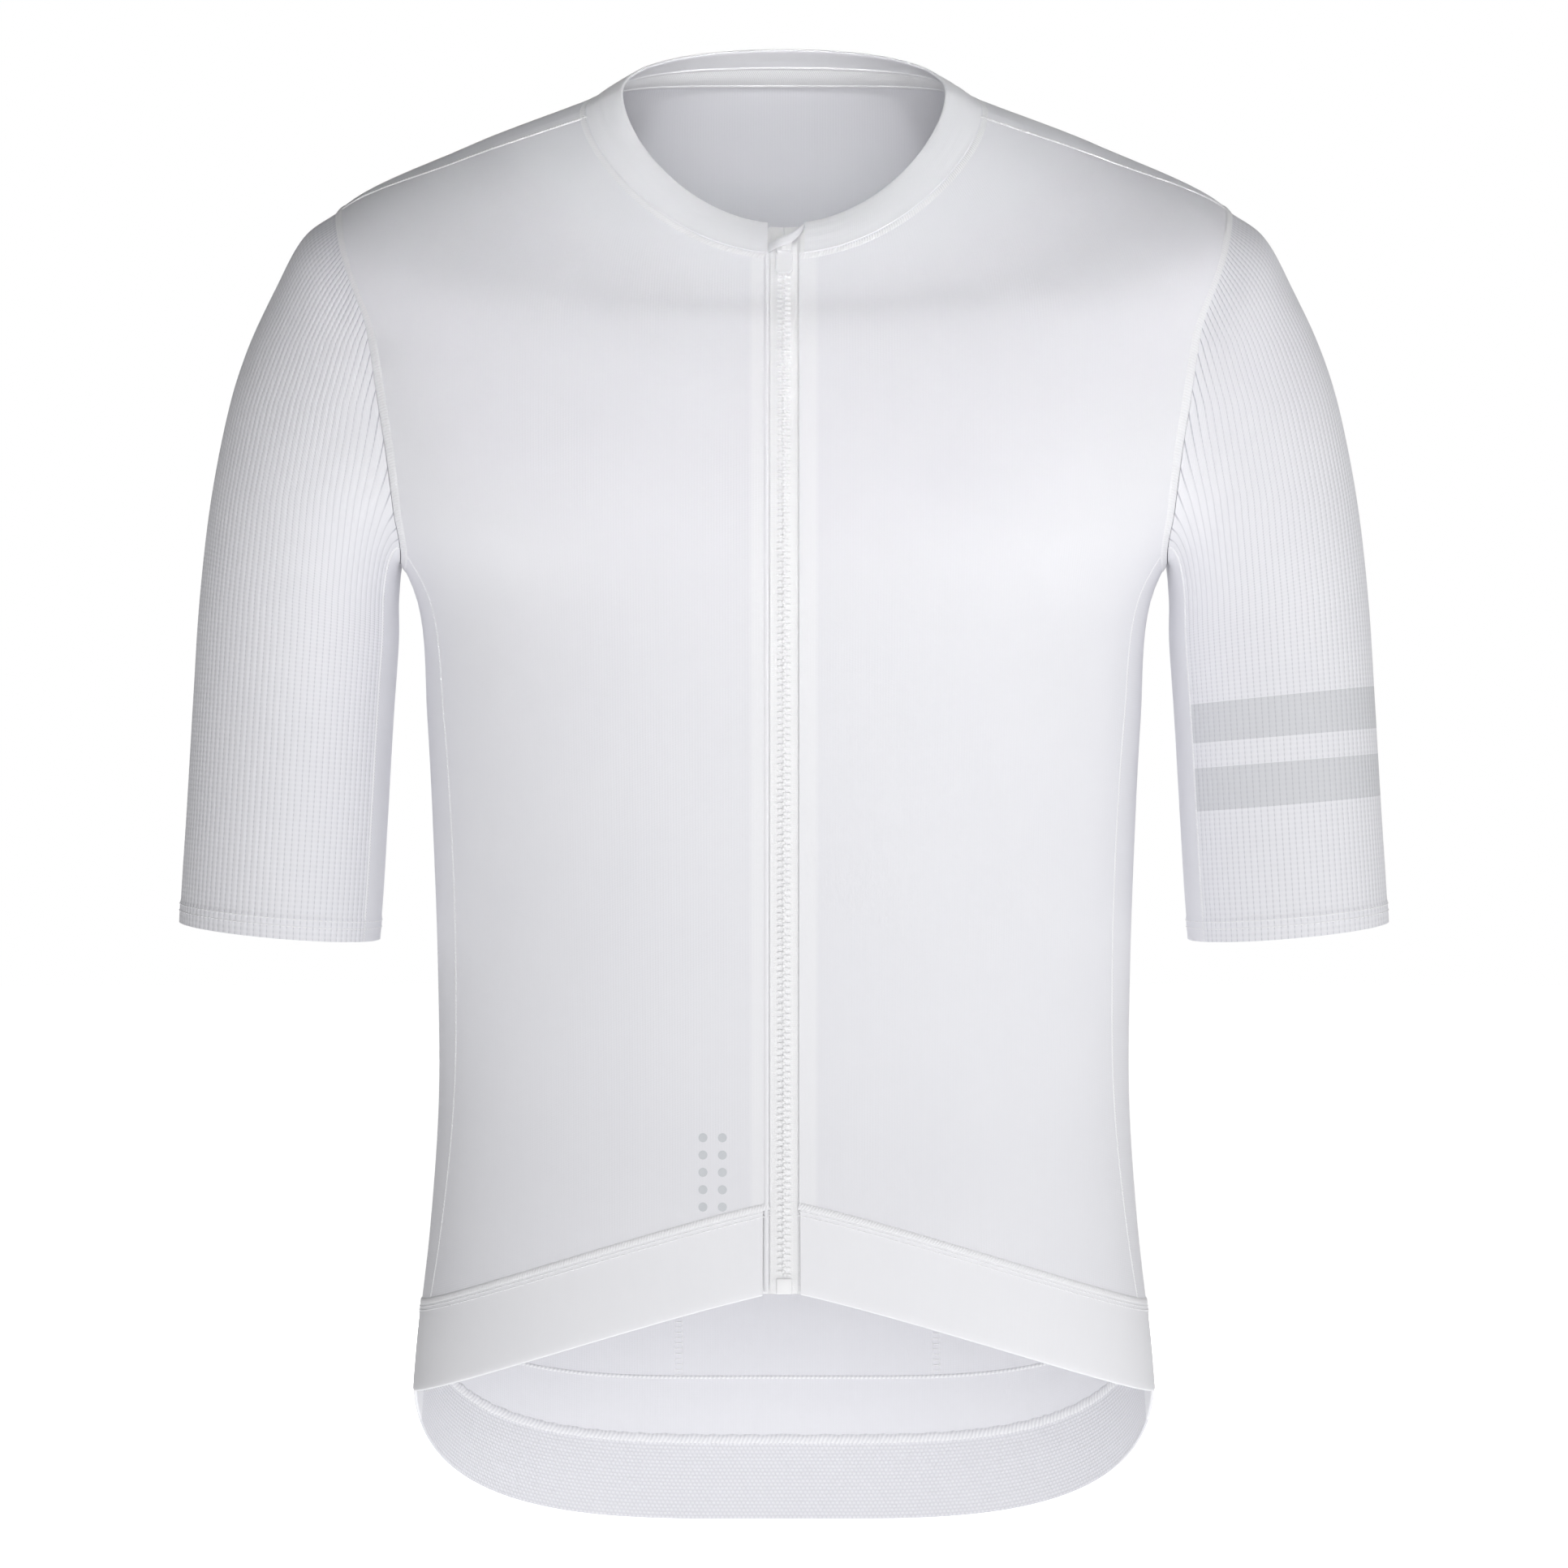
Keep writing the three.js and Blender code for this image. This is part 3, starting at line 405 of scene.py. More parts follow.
def lay_cloth(name, points, uv, wall):
    """A primitive grid laid over a grid of points, with the cloth's own map, thickened inwards."""
    rows, columns = points.shape[:2]
    select_only()
    bpy.ops.mesh.primitive_grid_add(x_subdivisions=columns - 1, y_subdivisions=rows - 1, size=1)
    piece = bpy.context.object
    piece.name = piece.data.name = name
    mesh = piece.data
    flat = np.empty(len(mesh.vertices) * 3)
    mesh.vertices.foreach_get("co", flat)
    flat = flat.reshape(-1, 3)
    column = np.rint((flat[:, 0] + 0.5) * (columns - 1)).astype(int)
    row = np.rint((flat[:, 1] + 0.5) * (rows - 1)).astype(int)
    if len(flat) != rows * columns:
        raise RuntimeError(f"{name}: the grid has {len(flat)} points and not {rows * columns}")
    mesh.vertices.foreach_set("co", (points[row, column] * MM).ravel())
    corner = np.empty(len(mesh.loops), int)
    mesh.loops.foreach_get("vertex_index", corner)
    mesh.uv_layers[0].data.foreach_set("uv", (uv[row, column][corner] * MM).ravel())
    mesh.update()
    apply_modifier(piece, "SOLIDIFY", thickness=wall * MM, offset=-1)
    smooth(piece)
    return piece


SIDES = ("left", "right")


def lay_side(name, side, points, uv, wall):
    """Lays a cloth that is given for the wearer's left, or its mirror image on the right."""
    if side == "right":
        points, uv = mirrored(points), uv[:, ::-1]
    return lay_cloth(f"{name}_{side}", points, uv, wall)


MATERIALS = {}
SEAMS_OF = {}


def finish_piece(piece, finish, body="garment", replaces=()):
    piece.data.materials.clear()
    piece.data.materials.append(MATERIALS[finish])
    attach(piece, body)
    if replaces:
        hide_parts(*replaces)
    return piece


def sew_on(cloth, piece, finish):
    """Finishes a seam or a row of stitches, and counts it with the cloth that it is sewn to."""
    finish_piece(piece, finish)
    SEAMS_OF.setdefault(cloth, []).append(piece)


def line_on(surface, places, height=0.0, normal_steps=()):
    """Points on a surface at places, lifted along its normals by a height or a grid of heights, and those
    normals."""
    around, up = split(places)
    normals = normal_at(surface, around, up, *normal_steps)
    height = np.broadcast_to(np.asarray(height, float), around.shape)
    return surface(around, up) + normals * height[..., None], normals


def raised(surface, places, height, normal_steps=()):
    return line_on(surface, places, height, normal_steps)[0]


def folded_band(face, normals, depth, turn_rows=4):
    """Rows of a band's face from its open edge to its fold, then round the fold and back inside."""
    radius = depth / 2
    along = unit(face[-1] - face[-2])
    normal = normals[-1]
    angle = np.linspace(0, np.pi, turn_rows + 2)[1:-1, None, None]
    centre = face[-1] - normal * radius
    fold = centre + normal * radius * np.cos(angle) + along * radius * np.sin(angle)
    inner = (face - normals * depth)[::-1]
    return np.concatenate([face, fold, inner])


def frames(points, normals):
    """Unit vectors along a line of points, across it and out of the cloth."""
    along = unit(np.gradient(points, axis=0))
    across = unit(np.cross(along, normals))
    return along, across, np.cross(across, along)


def run_along(points):
    """Length along a line of points, up to each of them."""
    return np.concatenate([[0], np.cumsum(np.linalg.norm(np.diff(points, axis=0), axis=-1))])


def seam_ridge(name, points, normals, width, height, sink=0.15):
    """A crowned strip along a line of points: the cloth's turned-under edges and their cover thread."""
    _, across, out = frames(points, normals)
    s = np.linspace(-1, 1, 7)
    crown = np.sqrt(1 - s**2) * (height + sink) - sink
    grid = (
        points[:, None] + across[:, None] * (s * width / 2)[None, :, None]
        + out[:, None] * crown[None, :, None]
    )
    uv = np.stack(np.broadcast_arrays(s[None, :] * width / 2, run_along(points)[:, None]), -1)
    return lay_cloth(name, grid, uv, SEAM_WALL)


def resample(points, normals, pitch, margin=0.0):
    """Evenly spaced points, and the normals there, along a line."""
    run = run_along(points)
    count = max(int((run[-1] - 2 * margin) / pitch), 2)
    at = np.linspace(margin, run[-1] - margin, count + 1)
    place, normal = (
        np.stack([np.interp(at, run, values[:, axis]) for axis in range(3)], -1)
        for values in (points, normals)
    )
    return place, unit(normal)


def repeat_along(name, base, points, along, across, out):
    """Copies of one small shape, each with its own points, set along a line as one piece."""
    shape = np.array([v.co for v in base.data.vertices]) / MM
    faces = [tuple(p.vertices) for p in base.data.polygons]
    placed = (
        points[:, None]
        + across[:, None] * shape[None, :, :1]
        + along[:, None] * shape[None, :, 1:2]
        + out[:, None] * shape[None, :, 2:]
    )
    count = len(shape)
    mesh = bpy.data.meshes.new(name)
    mesh.from_pydata(
        (placed.reshape(-1, 3) * MM).tolist(), [],
        [tuple(v + n * count for v in face) for n in range(len(points)) for face in faces],
    )
    mesh.update()
    piece = bpy.data.objects.new(name, mesh)
    bpy.context.collection.objects.link(piece)
    bpy.data.objects.remove(base)
    smooth(piece, 50)
    return piece


def stitch_shape(width, length, height):
    """One stitch: a short rounded length of thread, pulled into the cloth at both ends."""
    select_only()
    bpy.ops.mesh.primitive_uv_sphere_add(segments=6, ring_count=4, radius=0.5 * MM)
    shape = bpy.context.object
    shape.data.transform(Matrix.Diagonal((width, height, length, 1)))
    shape.data.transform(Matrix.Rotation(math.radians(90), 4, "X"))
    return shape


def stitch_row(name, points, normals, pitch=2.6, thread=(0.65, 2.1, 0.6), turned=0.0):
    """A row of stitches along a line; turned leans each one, in degrees, for zigzags and ladders."""
    at, normal = resample(points, normals, pitch, pitch / 2)
    along, across, out = frames(at, normal)
    lean = math.radians(turned)
    leaned = along * math.cos(lean) + across * math.sin(lean)
    return repeat_along(name, stitch_shape(*thread), at, leaned, np.cross(leaned, out), out)


def joined(name, pieces):
    select_only(*pieces)
    bpy.ops.object.join()
    whole = bpy.context.object
    whole.name = whole.data.name = name
    return whole


# Materials


def linear(hex_colour):
    """An sRGB hex colour as Blender's linear colour."""
    channels = [int(hex_colour[i: i + 2], 16) / 255 for i in (0, 2, 4)]
    return tuple(c / 12.92 if c <= 0.04045 else ((c + 0.055) / 1.055) ** 2.4 for c in channels) + (1.0,)


def add_node(tree, kind, inputs=None, output=0, **settings):
    """Adds a node with its settings and gives back one of its outputs. Each input is a value, or another
    node's output that is linked in."""
    made = tree.nodes.new(kind)
    for name, value in settings.items():
        setattr(made, name, value)
    for socket, value in (inputs or {}).items():
        if isinstance(value, bpy.types.NodeSocket):
            tree.links.new(value, made.inputs[socket])
        else:
            made.inputs[socket].default_value = value
    return made.outputs[output] if made.outputs else None


def start_material(name, roughness, ior=1.5, sheen=0.0, specular=0.5):
    material = bpy.data.materials.new(name)
    material.use_nodes = True
    tree = material.node_tree
    shader = tree.nodes["Principled BSDF"]
    shader.inputs["Roughness"].default_value = roughness
    shader.inputs["IOR"].default_value = ior
    shader.inputs["Sheen Weight"].default_value = sheen
    shader.inputs["Sheen Roughness"].default_value = 0.6
    shader.inputs["Specular IOR Level"].default_value = specular
    return material, tree, shader


def cloth_coordinates(tree):
    """The piece's own map, whole and as its length across and its length along."""
    uv = add_node(tree, "ShaderNodeUVMap")
    parts = add_node(tree, "ShaderNodeSeparateXYZ", {0: uv}).node
    return uv, parts.outputs["X"], parts.outputs["Y"]


def mottle(tree, light, dark, scale):
    """A barely uneven colour between two shades, as yarn takes up dye."""
    place = add_node(tree, "ShaderNodeTexCoord", output="Object")
    noise = add_node(tree, "ShaderNodeTexNoise", {"Vector": place, "Scale": scale, "Detail": 4.0})
    mixed = {0: noise, 6: linear(light), 7: linear(dark)}
    return add_node(tree, "ShaderNodeMix", mixed, output=2, data_type="RGBA")


def shaded(tree, colour, pattern, strength, shade):
    """Another shade that shows through a colour where a pattern is high."""
    amount = add_node(tree, "ShaderNodeMath", {0: pattern, 1: strength}, operation="MULTIPLY")
    mixed = {0: amount, 6: colour, 7: linear(shade)}
    return add_node(tree, "ShaderNodeMix", mixed, output=2, data_type="RGBA")


def ripples(tree, coordinate, pitch_mm):
    """A smooth wave between 0 and 1 with one crest for each pitch."""
    turns = 2 * math.pi / (pitch_mm * MM)
    angle = add_node(tree, "ShaderNodeMath", {0: coordinate, 1: turns}, operation="MULTIPLY")
    wave = add_node(tree, "ShaderNodeMath", {0: angle}, operation="SINE")
    return add_node(tree, "ShaderNodeMath", {0: wave, 1: 0.5, 2: 0.5}, operation="MULTIPLY_ADD")


def surface(tree, shader, colour, relief, depth_mm, strength):
    """Gives a finish its colour and a fine relief."""
    tree.links.new(colour, shader.inputs["Base Color"])
    heights = {"Height": relief, "Distance": depth_mm * MM, "Strength": strength}
    tree.links.new(add_node(tree, "ShaderNodeBump", heights), shader.inputs["Normal"])


def grained(tree, shader, colour, scale, detail, depth_mm, strength):
    """Gives a finish its colour and an even grain."""
    place = add_node(tree, "ShaderNodeTexCoord", output="Object")
    grain = add_node(tree, "ShaderNodeTexNoise", {"Vector": place, "Scale": scale, "Detail": detail})
    surface(tree, shader, colour, grain, depth_mm, strength)


def jersey_knit(name, facing=False):
    """Fine polyester warp knit, matt, with thread-fine wales down the cloth. Real wales are 0.5 mm apart;
    they are drawn 1.3 mm apart so that they show. A facing behind it shows whiter along the zip."""
    material, tree, shader = start_material(name, roughness=0.82, sheen=0.12, specular=0.3)
    _, across, up = cloth_coordinates(tree)
    wales, courses = ripples(tree, across, 1.3), ripples(tree, up, 1.1)
    weave = add_node(tree, "ShaderNodeMath", {0: courses, 1: 0.4, 2: wales}, operation="MULTIPLY_ADD")
    colour = shaded(tree, mottle(tree, "F3F3F7", "EFEFF4", 18), wales, 0.05, "D9D9E0")
    if facing:
        from_zip = add_node(tree, "ShaderNodeMath", {0: across}, operation="ABSOLUTE")
        behind = add_node(
            tree, "ShaderNodeMapRange", {"Value": from_zip, "From Min": 10 * MM, "From Max": 6.6 * MM},
            interpolation_type="SMOOTHSTEP",
        )
        colour = shaded(tree, colour, behind, 0.5, "FDFDFF")
    surface(tree, shader, colour, weave, 0.05, 0.5)
    return material


def rib_knit(name, length, hoops=()):
    """Ribbed knit: flat raised ribs with narrow grooves, in which painted shade lies as dark dashes.
    The map's first value counts ribs, its second is the height above the cuff. The cross rows are
    2.3 mm apart, and the painted shade in the grooves grows darker where the ribs end at the armhole."""
    material, tree, shader = start_material(name, roughness=0.85, sheen=0.12, specular=0.3)
    _, rib, down = cloth_coordinates(tree)
    count = add_node(tree, "ShaderNodeMath", {0: rib, 1: 1 / MM}, operation="MULTIPLY")
    part = add_node(tree, "ShaderNodeMath", {0: count}, operation="FRACT")
    centred = add_node(tree, "ShaderNodeMath", {0: part, 1: 0.5}, operation="SUBTRACT")
    from_crown = add_node(tree, "ShaderNodeMath", {0: centred}, operation="ABSOLUTE")
    groove = add_node(
        tree, "ShaderNodeMapRange", {"Value": from_crown, "From Min": 0.38, "From Max": 0.47},
        interpolation_type="SMOOTHSTEP",
    )
    rows = ripples(tree, down, 2.3)
    by_armhole = add_node(
        tree, "ShaderNodeMapRange", {"Value": down, "From Min": (length - 16) * MM, "From Max": length * MM},
    )
    colour = mottle(tree, "F3F3F7", "EEEEF3", 25)
    for start, end in hoops:
        span = {0: down, 1: (start + end) / 2 * MM, 2: (end - start) / 2 * MM}
        hoop = add_node(tree, "ShaderNodeMath", span, operation="COMPARE")
        colour = shaded(tree, colour, hoop, 0.9, "DADBDF")
    # Strength of the painted shade in the grooves: dashes along the cross rows, darker towards the armhole
    depth = add_node(tree, "ShaderNodeMath", {0: rows, 1: 0.22, 2: 0.12}, operation="MULTIPLY_ADD")
    depth = add_node(tree, "ShaderNodeMath", {0: by_armhole, 1: 0.4, 2: depth}, operation="MULTIPLY_ADD")
    colour = shaded(tree, colour, groove, depth, "9C9CA8")
    colour = shaded(tree, colour, rows, 0.07, "BFBFC8")
    surface(tree, shader, colour, rows, 0.08, 0.6)
    return material


def band_knit(name, wrinkled=0.0):
    """Smooth elastic knit folded double, a touch whiter than the single cloth because no light comes
    through it."""
    material, tree, shader = start_material(name, roughness=0.8, sheen=0.12, specular=0.3)
    uv, across, _ = cloth_coordinates(tree)
    fine = add_node(tree, "ShaderNodeMath", {0: ripples(tree, across, 1.1), 1: 0.25}, operation="MULTIPLY")
    if wrinkled:
        stretched = add_node(tree, "ShaderNodeMapping", {"Vector": uv, "Scale": (22, 420, 1)})
        creases = add_node(tree, "ShaderNodeTexNoise", {"Vector": stretched, "Scale": 1.0, "Detail": 3.0})
        fine = add_node(tree, "ShaderNodeMath", {0: creases, 1: wrinkled, 2: fine}, operation="MULTIPLY_ADD")
    surface(tree, shader, mottle(tree, "F8F8FB", "F4F4F8", 20), fine, 0.12, 0.6)
    return material


def grip_mesh(name):
    """Mesh elastic with staggered rows of small raised dots, 2.1 mm apart, that grip the shorts."""
    material, tree, shader = start_material(name, roughness=0.75, sheen=0.1, specular=0.35)
    _, across, up = cloth_coordinates(tree)
    row = add_node(tree, "ShaderNodeMath", {0: up, 1: 1 / (1.8 * MM)}, operation="MULTIPLY")
    whole = add_node(tree, "ShaderNodeMath", {0: row}, operation="FLOOR")
    odd = add_node(tree, "ShaderNodeMath", {0: whole, 1: 2.0}, operation="MODULO")
    shift = add_node(tree, "ShaderNodeMath", {0: odd, 1: 0.5}, operation="MULTIPLY")
    column = {0: across, 1: 1 / (2.1 * MM), 2: shift}
    column = add_node(tree, "ShaderNodeMath", column, operation="MULTIPLY_ADD")
    squares = {}
    for axis, place in enumerate((row, column)):
        part = add_node(tree, "ShaderNodeMath", {0: place}, operation="FRACT")
        offset = add_node(tree, "ShaderNodeMath", {0: part, 1: 0.5}, operation="SUBTRACT")
        squares[axis] = add_node(tree, "ShaderNodeMath", {0: offset, 1: offset}, operation="MULTIPLY")
    from_dot = add_node(tree, "ShaderNodeMath", squares, operation="ADD")
    pit = add_node(
        tree, "ShaderNodeMapRange", {"Value": from_dot, "From Min": 0.06, "From Max": 0.2},
        interpolation_type="SMOOTHSTEP",
    )
    dots = add_node(tree, "ShaderNodeMath", {0: 1.0, 1: pit}, operation="SUBTRACT")
    # Painted shade darkens the low mesh between the raised dots
    colour = shaded(tree, mottle(tree, "F3F3F7", "EFEFF4", 20), pit, 0.26, "C3C3CC")
    surface(tree, shader, colour, dots, 0.3, 0.6)
    return material


def tape_weave(name):
    """Narrow woven polyester tape with a fine cross rib, a little shinier than the knit."""
    material, tree, shader = start_material(name, roughness=0.6, sheen=0.1)
    _, across, up = cloth_coordinates(tree)
    yarns = {0: ripples(tree, up, 0.9), 1: ripples(tree, across, 1.0)}
    weave = add_node(tree, "ShaderNodeMath", yarns, operation="MULTIPLY")
    surface(tree, shader, mottle(tree, "FCFCFD", "F8F8FA", 30), weave, 0.1, 0.7)
    return material


def thread(name):
    """Twisted polyester sewing thread, white and slightly lustrous."""
    material, tree, shader = start_material(name, roughness=0.55, sheen=0.15)
    grained(tree, shader, mottle(tree, "FAFAFC", "F4F4F7", 60), 2500.0, 1.0, 0.06, 0.5)
    return material


def cover_stitch(name, pitch=1.4, gaps=0.12):
    """A flat seam under looping cover thread. The threads cross it at a slant, a pitch in mm apart, and the
    gaps between them let through as much shade as their share."""
    material, tree, shader = start_material(name, roughness=0.65, sheen=0.15)
    _, across, along = cloth_coordinates(tree)
    slant = add_node(tree, "ShaderNodeMath", {0: across, 1: 0.5, 2: along}, operation="MULTIPLY_ADD")
    threads = ripples(tree, slant, pitch)
    relief = add_node(tree, "ShaderNodeMath", {0: 1.0, 1: threads}, operation="SUBTRACT")
    colour = shaded(tree, mottle(tree, "FBFBFD", "F6F6F9", 40), threads, gaps, "C8C8D0")
    surface(tree, shader, colour, relief, 0.15, 0.7)
    return material


def moulded_plastic(name, light, dark, roughness):
    """Injection-moulded acetal, satin, with the faint grain of its mould."""
    material, tree, shader = start_material(name, roughness=roughness, ior=1.48)
    grained(tree, shader, mottle(tree, light, dark, 90), 1800.0, 2.0, 0.03, 0.4)
    return material


def reflective_ink(name):
    """Heat-pressed reflective film: a flat cool grey with fine glass-bead grain."""
    material, tree, shader = start_material(name, roughness=0.45, specular=0.6)
    grained(tree, shader, mottle(tree, "D3D6DA", "C9CCD1", 200), 3000.0, 1.0, 0.04, 0.5)
    return material


# Settings that a user would change


class JerseySettings(bpy.types.PropertyGroup):
    """Sizes and finishes of the jersey's cloth."""

    knit_wall: bpy.props.FloatProperty(
        name="Knit thickness", description="Thickness of the body's single knit, in millimetres",
        default=0.8, min=0.4, max=1.2,
    )
    rib_depth: bpy.props.FloatProperty(
        name="Rib depth", description="How deep the grooves between the sleeve's ribs are, in millimetres",
        default=0.22, min=0.0, max=0.6,
    )
    seam_width: bpy.props.FloatProperty(
        name="Seam width", description="Width of the raised armhole seams, in millimetres",
        default=4.4, min=1.5, max=5.0,
    )
    tooth_pitch: bpy.props.FloatProperty(
        name="Tooth pitch", description="Distance from tooth to tooth on one side of the zip, in millimetres",
        default=3.0, min=2.0, max=4.0,
    )
    hoop_width: bpy.props.FloatProperty(
        name="Hoop width", description="Width of each pale hoop on the left sleeve, in millimetres",
        default=20.0, min=0.0, max=30.0,
    )


class StudioSettings(bpy.types.PropertyGroup):
    """Light of the plain studio."""

    ambient: bpy.props.FloatProperty(
        name="Ambient", description="Even light from all round", default=0.01, min=0.0, max=2.0,
    )
    floor_glow: bpy.props.FloatProperty(
        name="Floor glow", description="Light from the lit floor on the underside and inside of the jersey",
        default=0.54, min=0.0, max=1.0,
    )
    key_power: bpy.props.FloatProperty(
        name="Key light", description="Power of the large soft light in front", default=46.0, min=0.0,
        subtype="POWER", unit="POWER",
    )


def jersey_settings():
    return bpy.context.scene.jersey


# Operators, one for each group of pieces


class JERSEY_OT_finishes(bpy.types.Operator):
    """Make the knits, threads and plastics that the pieces are finished with"""

    bl_idname = "jersey.finishes"
    bl_label = "Finishes"

    def execute(self, context):
        width = jersey_settings().hoop_width
        length = float(sleeve_length(sleeve_rows())[-1])
        MATERIALS.update(
            knit=jersey_knit("body_warp_knit"),
            front_knit=jersey_knit("front_warp_knit", facing=True),
            rib=rib_knit("sleeve_rib_knit", length),
            hooped_rib=rib_knit(
                "sleeve_rib_knit_hooped", length,
                [(60, 60 + width), (60 + 1.6 * width, 60 + 2.6 * width)],
            ),
            band=band_knit("folded_band_knit"),
            collar=band_knit("gathered_collar_knit", wrinkled=1.6),
            grip=grip_mesh("gripper_mesh_elastic"),
            tape=tape_weave("woven_zip_tape"),
            thread=thread("sewing_thread"),
            cover=cover_stitch("cover_stitched_seam"),
            overlock=cover_stitch("overlocked_seam", 2.2, 0.4),
            plastic=moulded_plastic("zip_acetal", "FCFCFD", "F8F8FA", 0.38),
            puller=moulded_plastic("pull_tab_plastic", "F6F6F8", "F1F1F4", 0.45),
            reflective=reflective_ink("reflective_film"),
        )
        return {"FINISHED"}


class JERSEY_OT_fronts(bpy.types.Operator):
    """Sew the two front panels, from the zip to the side and shoulder seams"""

    bl_idname = "jersey.fronts"
    bl_label = "Front panels"

    def execute(self, context):
        points = raised(body_point, front_places(), 0)
        uv = cloth_uv(points)
        for side in SIDES:
            piece = lay_side("front_panel", side, points, uv, jersey_settings().knit_wall)
            finish_piece(piece, "front_knit", replaces=[f"front_{side}"])
        return {"FINISHED"}


class JERSEY_OT_sides(bpy.types.Operator):
    """Sew the narrow side panels under the arms"""

    bl_idname = "jersey.sides"
    bl_label = "Side panels"

    def execute(self, context):
        points = raised(torso_point, side_places(), 0)
        uv = cloth_uv(points)
        for side in SIDES:
            piece = lay_side("side_panel", side, points, uv, jersey_settings().knit_wall)
            finish_piece(piece, "knit", replaces=[f"side_{side}"])
        return {"FINISHED"}


class JERSEY_OT_back(bpy.types.Operator):
    """Sew the back panel, in one piece over both shoulders"""

    bl_idname = "jersey.back"
    bl_label = "Back panel"

    def execute(self, context):
        points = raised(body_point, back_places(), 0)
        uv = cloth_uv(points, origin_column=points.shape[1] // 2)
        piece = lay_cloth("back_panel", points, uv, jersey_settings().knit_wall)
        finish_piece(piece, "knit", replaces=["back"])
        return {"FINISHED"}


SLEEVE_STEPS = (1.5, 0.03)


def rib_places(shares, along):
    """Places of the ribs: each keeps its angle round the arm, so it meets the armhole at a slant."""
    turns = np.linspace(UNDERARM_TURNS[1] - 360, UNDERARM_TURNS[0], 241)
    points = sleeve_point(turns[None, :], along[:, None])
    rings = ring_at(SLEEVE_RINGS, along)[:, None]
    outside = np.interp(-points[..., 2], -SLEEVE_RINGS[:, 1], SLEEVE_RINGS[:, 0])
    angles = np.unwrap(np.arctan2(
        (rings[..., 5] - points[..., 1]) / rings[..., 4], (points[..., 0] - outside) / RIB_AXIS + 1,
    ))
    found = [np.interp(blend(row[0], row[-1], shares), row, turns) for row in angles]
    return np.stack([np.array(found), np.broadcast_to(along[:, None], (len(along), len(shares)))], -1)


def sleeve_rows():
    """Places down the sleeve, closer together through the cuff's hem."""
    return np.concatenate([np.linspace(0, 9.4, 96), np.linspace(9.45, CUFF, 14)])


def sleeve_length(along):
    """Length down the outside of the sleeve, in millimetres from the armhole."""
    return run_along(sleeve_point(0, along))


class JERSEY_OT_sleeves(bpy.types.Operator):
    """Sew the ribbed sleeves and the plain strips along their insides"""

    bl_idname = "jersey.sleeves"
    bl_label = "Sleeves"

    def execute(self, context):
        depth = jersey_settings().rib_depth
        along = sleeve_rows()
        length = sleeve_length(along)
        above_cuff = length[-1] - length
        hem = CUFF_HEM_RISE * np.clip((CUFF_HEM - above_cuff) / 1.5, 0, 1)
        # Each rib has a groove point, two shoulders and a crown, and the last one ends in a groove.
        phase = np.append((np.arange(RIBS)[:, None] + np.array((0, 0.13, 0.5, 0.87))).ravel(), RIBS)
        level = np.concatenate([np.tile((-depth, -0.03, 0.05, -0.03), RIBS), [-depth]])
        places = rib_places(phase / RIBS, along)
        fade = np.clip(length / 2.5, 0, 1)
        points = raised(sleeve_point, places, level[None, :] * fade[:, None] + hem[:, None], SLEEVE_STEPS)
        uv = np.stack(np.broadcast_arrays(phase[None, :], above_cuff[:, None]), -1)
        under = np.stack(np.broadcast_arrays(
            np.linspace(*UNDERARM_TURNS, 19)[None, :], along[:, None],
        ), -1)
        under_points = raised(sleeve_point, under, hem[:, None] * np.ones(19), SLEEVE_STEPS)
        under_uv = cloth_uv(under_points)
        for side in SIDES:
            sleeve = lay_side("sleeve_panel", side, points, uv, SLEEVE_WALL)
            finish = "hooped_rib" if side == "left" else "rib"
            finish_piece(sleeve, finish, replaces=[f"sleeve_{side}"])
            strip = lay_side("sleeve_strip", side, under_points, under_uv, SLEEVE_WALL)
            finish_piece(strip, "knit", replaces=[f"sleeve_under_{side}"])
        return {"FINISHED"}


class JERSEY_OT_collar(bpy.types.Operator):
    """Sew the low collar band, folded double and slightly gathered"""

    bl_idname = "jersey.collar"
    bl_label = "Collar band"

    def execute(self, context):
        rows = steps(16) * COLLAR_FACE
        left_end, right_end = around_at_x(9.5, NECK + rows), 360 - around_at_x(7.6, NECK + rows)
        share = steps(260)
        places = np.stack([
            blend(left_end[:, None], right_end[:, None], share[None, :]),
            np.broadcast_to((NECK + rows)[:, None], (len(rows), len(share))),
        ], -1)
        around, up = split(places)
        t = up - NECK
        turn = np.radians(around)
        # Two sets of creases drift round the band and fade out at its seam and its fold.
        long_creases = np.sin(t * 24 + 2.4 * np.sin(turn * 2.3 + 0.7) + 1.2 * np.sin(turn * 7))
        short_creases = np.sin(t * 43 + 3.1 * np.sin(turn * 3.1 + 2) + turn * 5)
        wrinkle = (
            0.11 * long_creases * np.sin(turn * 4 + 1) ** 2
            + 0.08 * short_creases * np.sin(turn * 6 + t * 3) ** 2
        ) * np.sin(np.pi * np.clip(t / COLLAR_FACE, 0, 1))
        height = 0.35 - 0.35 * np.clip(t * 8, 0, 1) + wrinkle
        points = folded_band(*line_on(body_point, places, height), BAND_DEPTH)
        piece = lay_cloth("collar_band", points, cloth_uv(points), BAND_WALL)
        finish_piece(piece, "collar", replaces=["collar"])
        return {"FINISHED"}


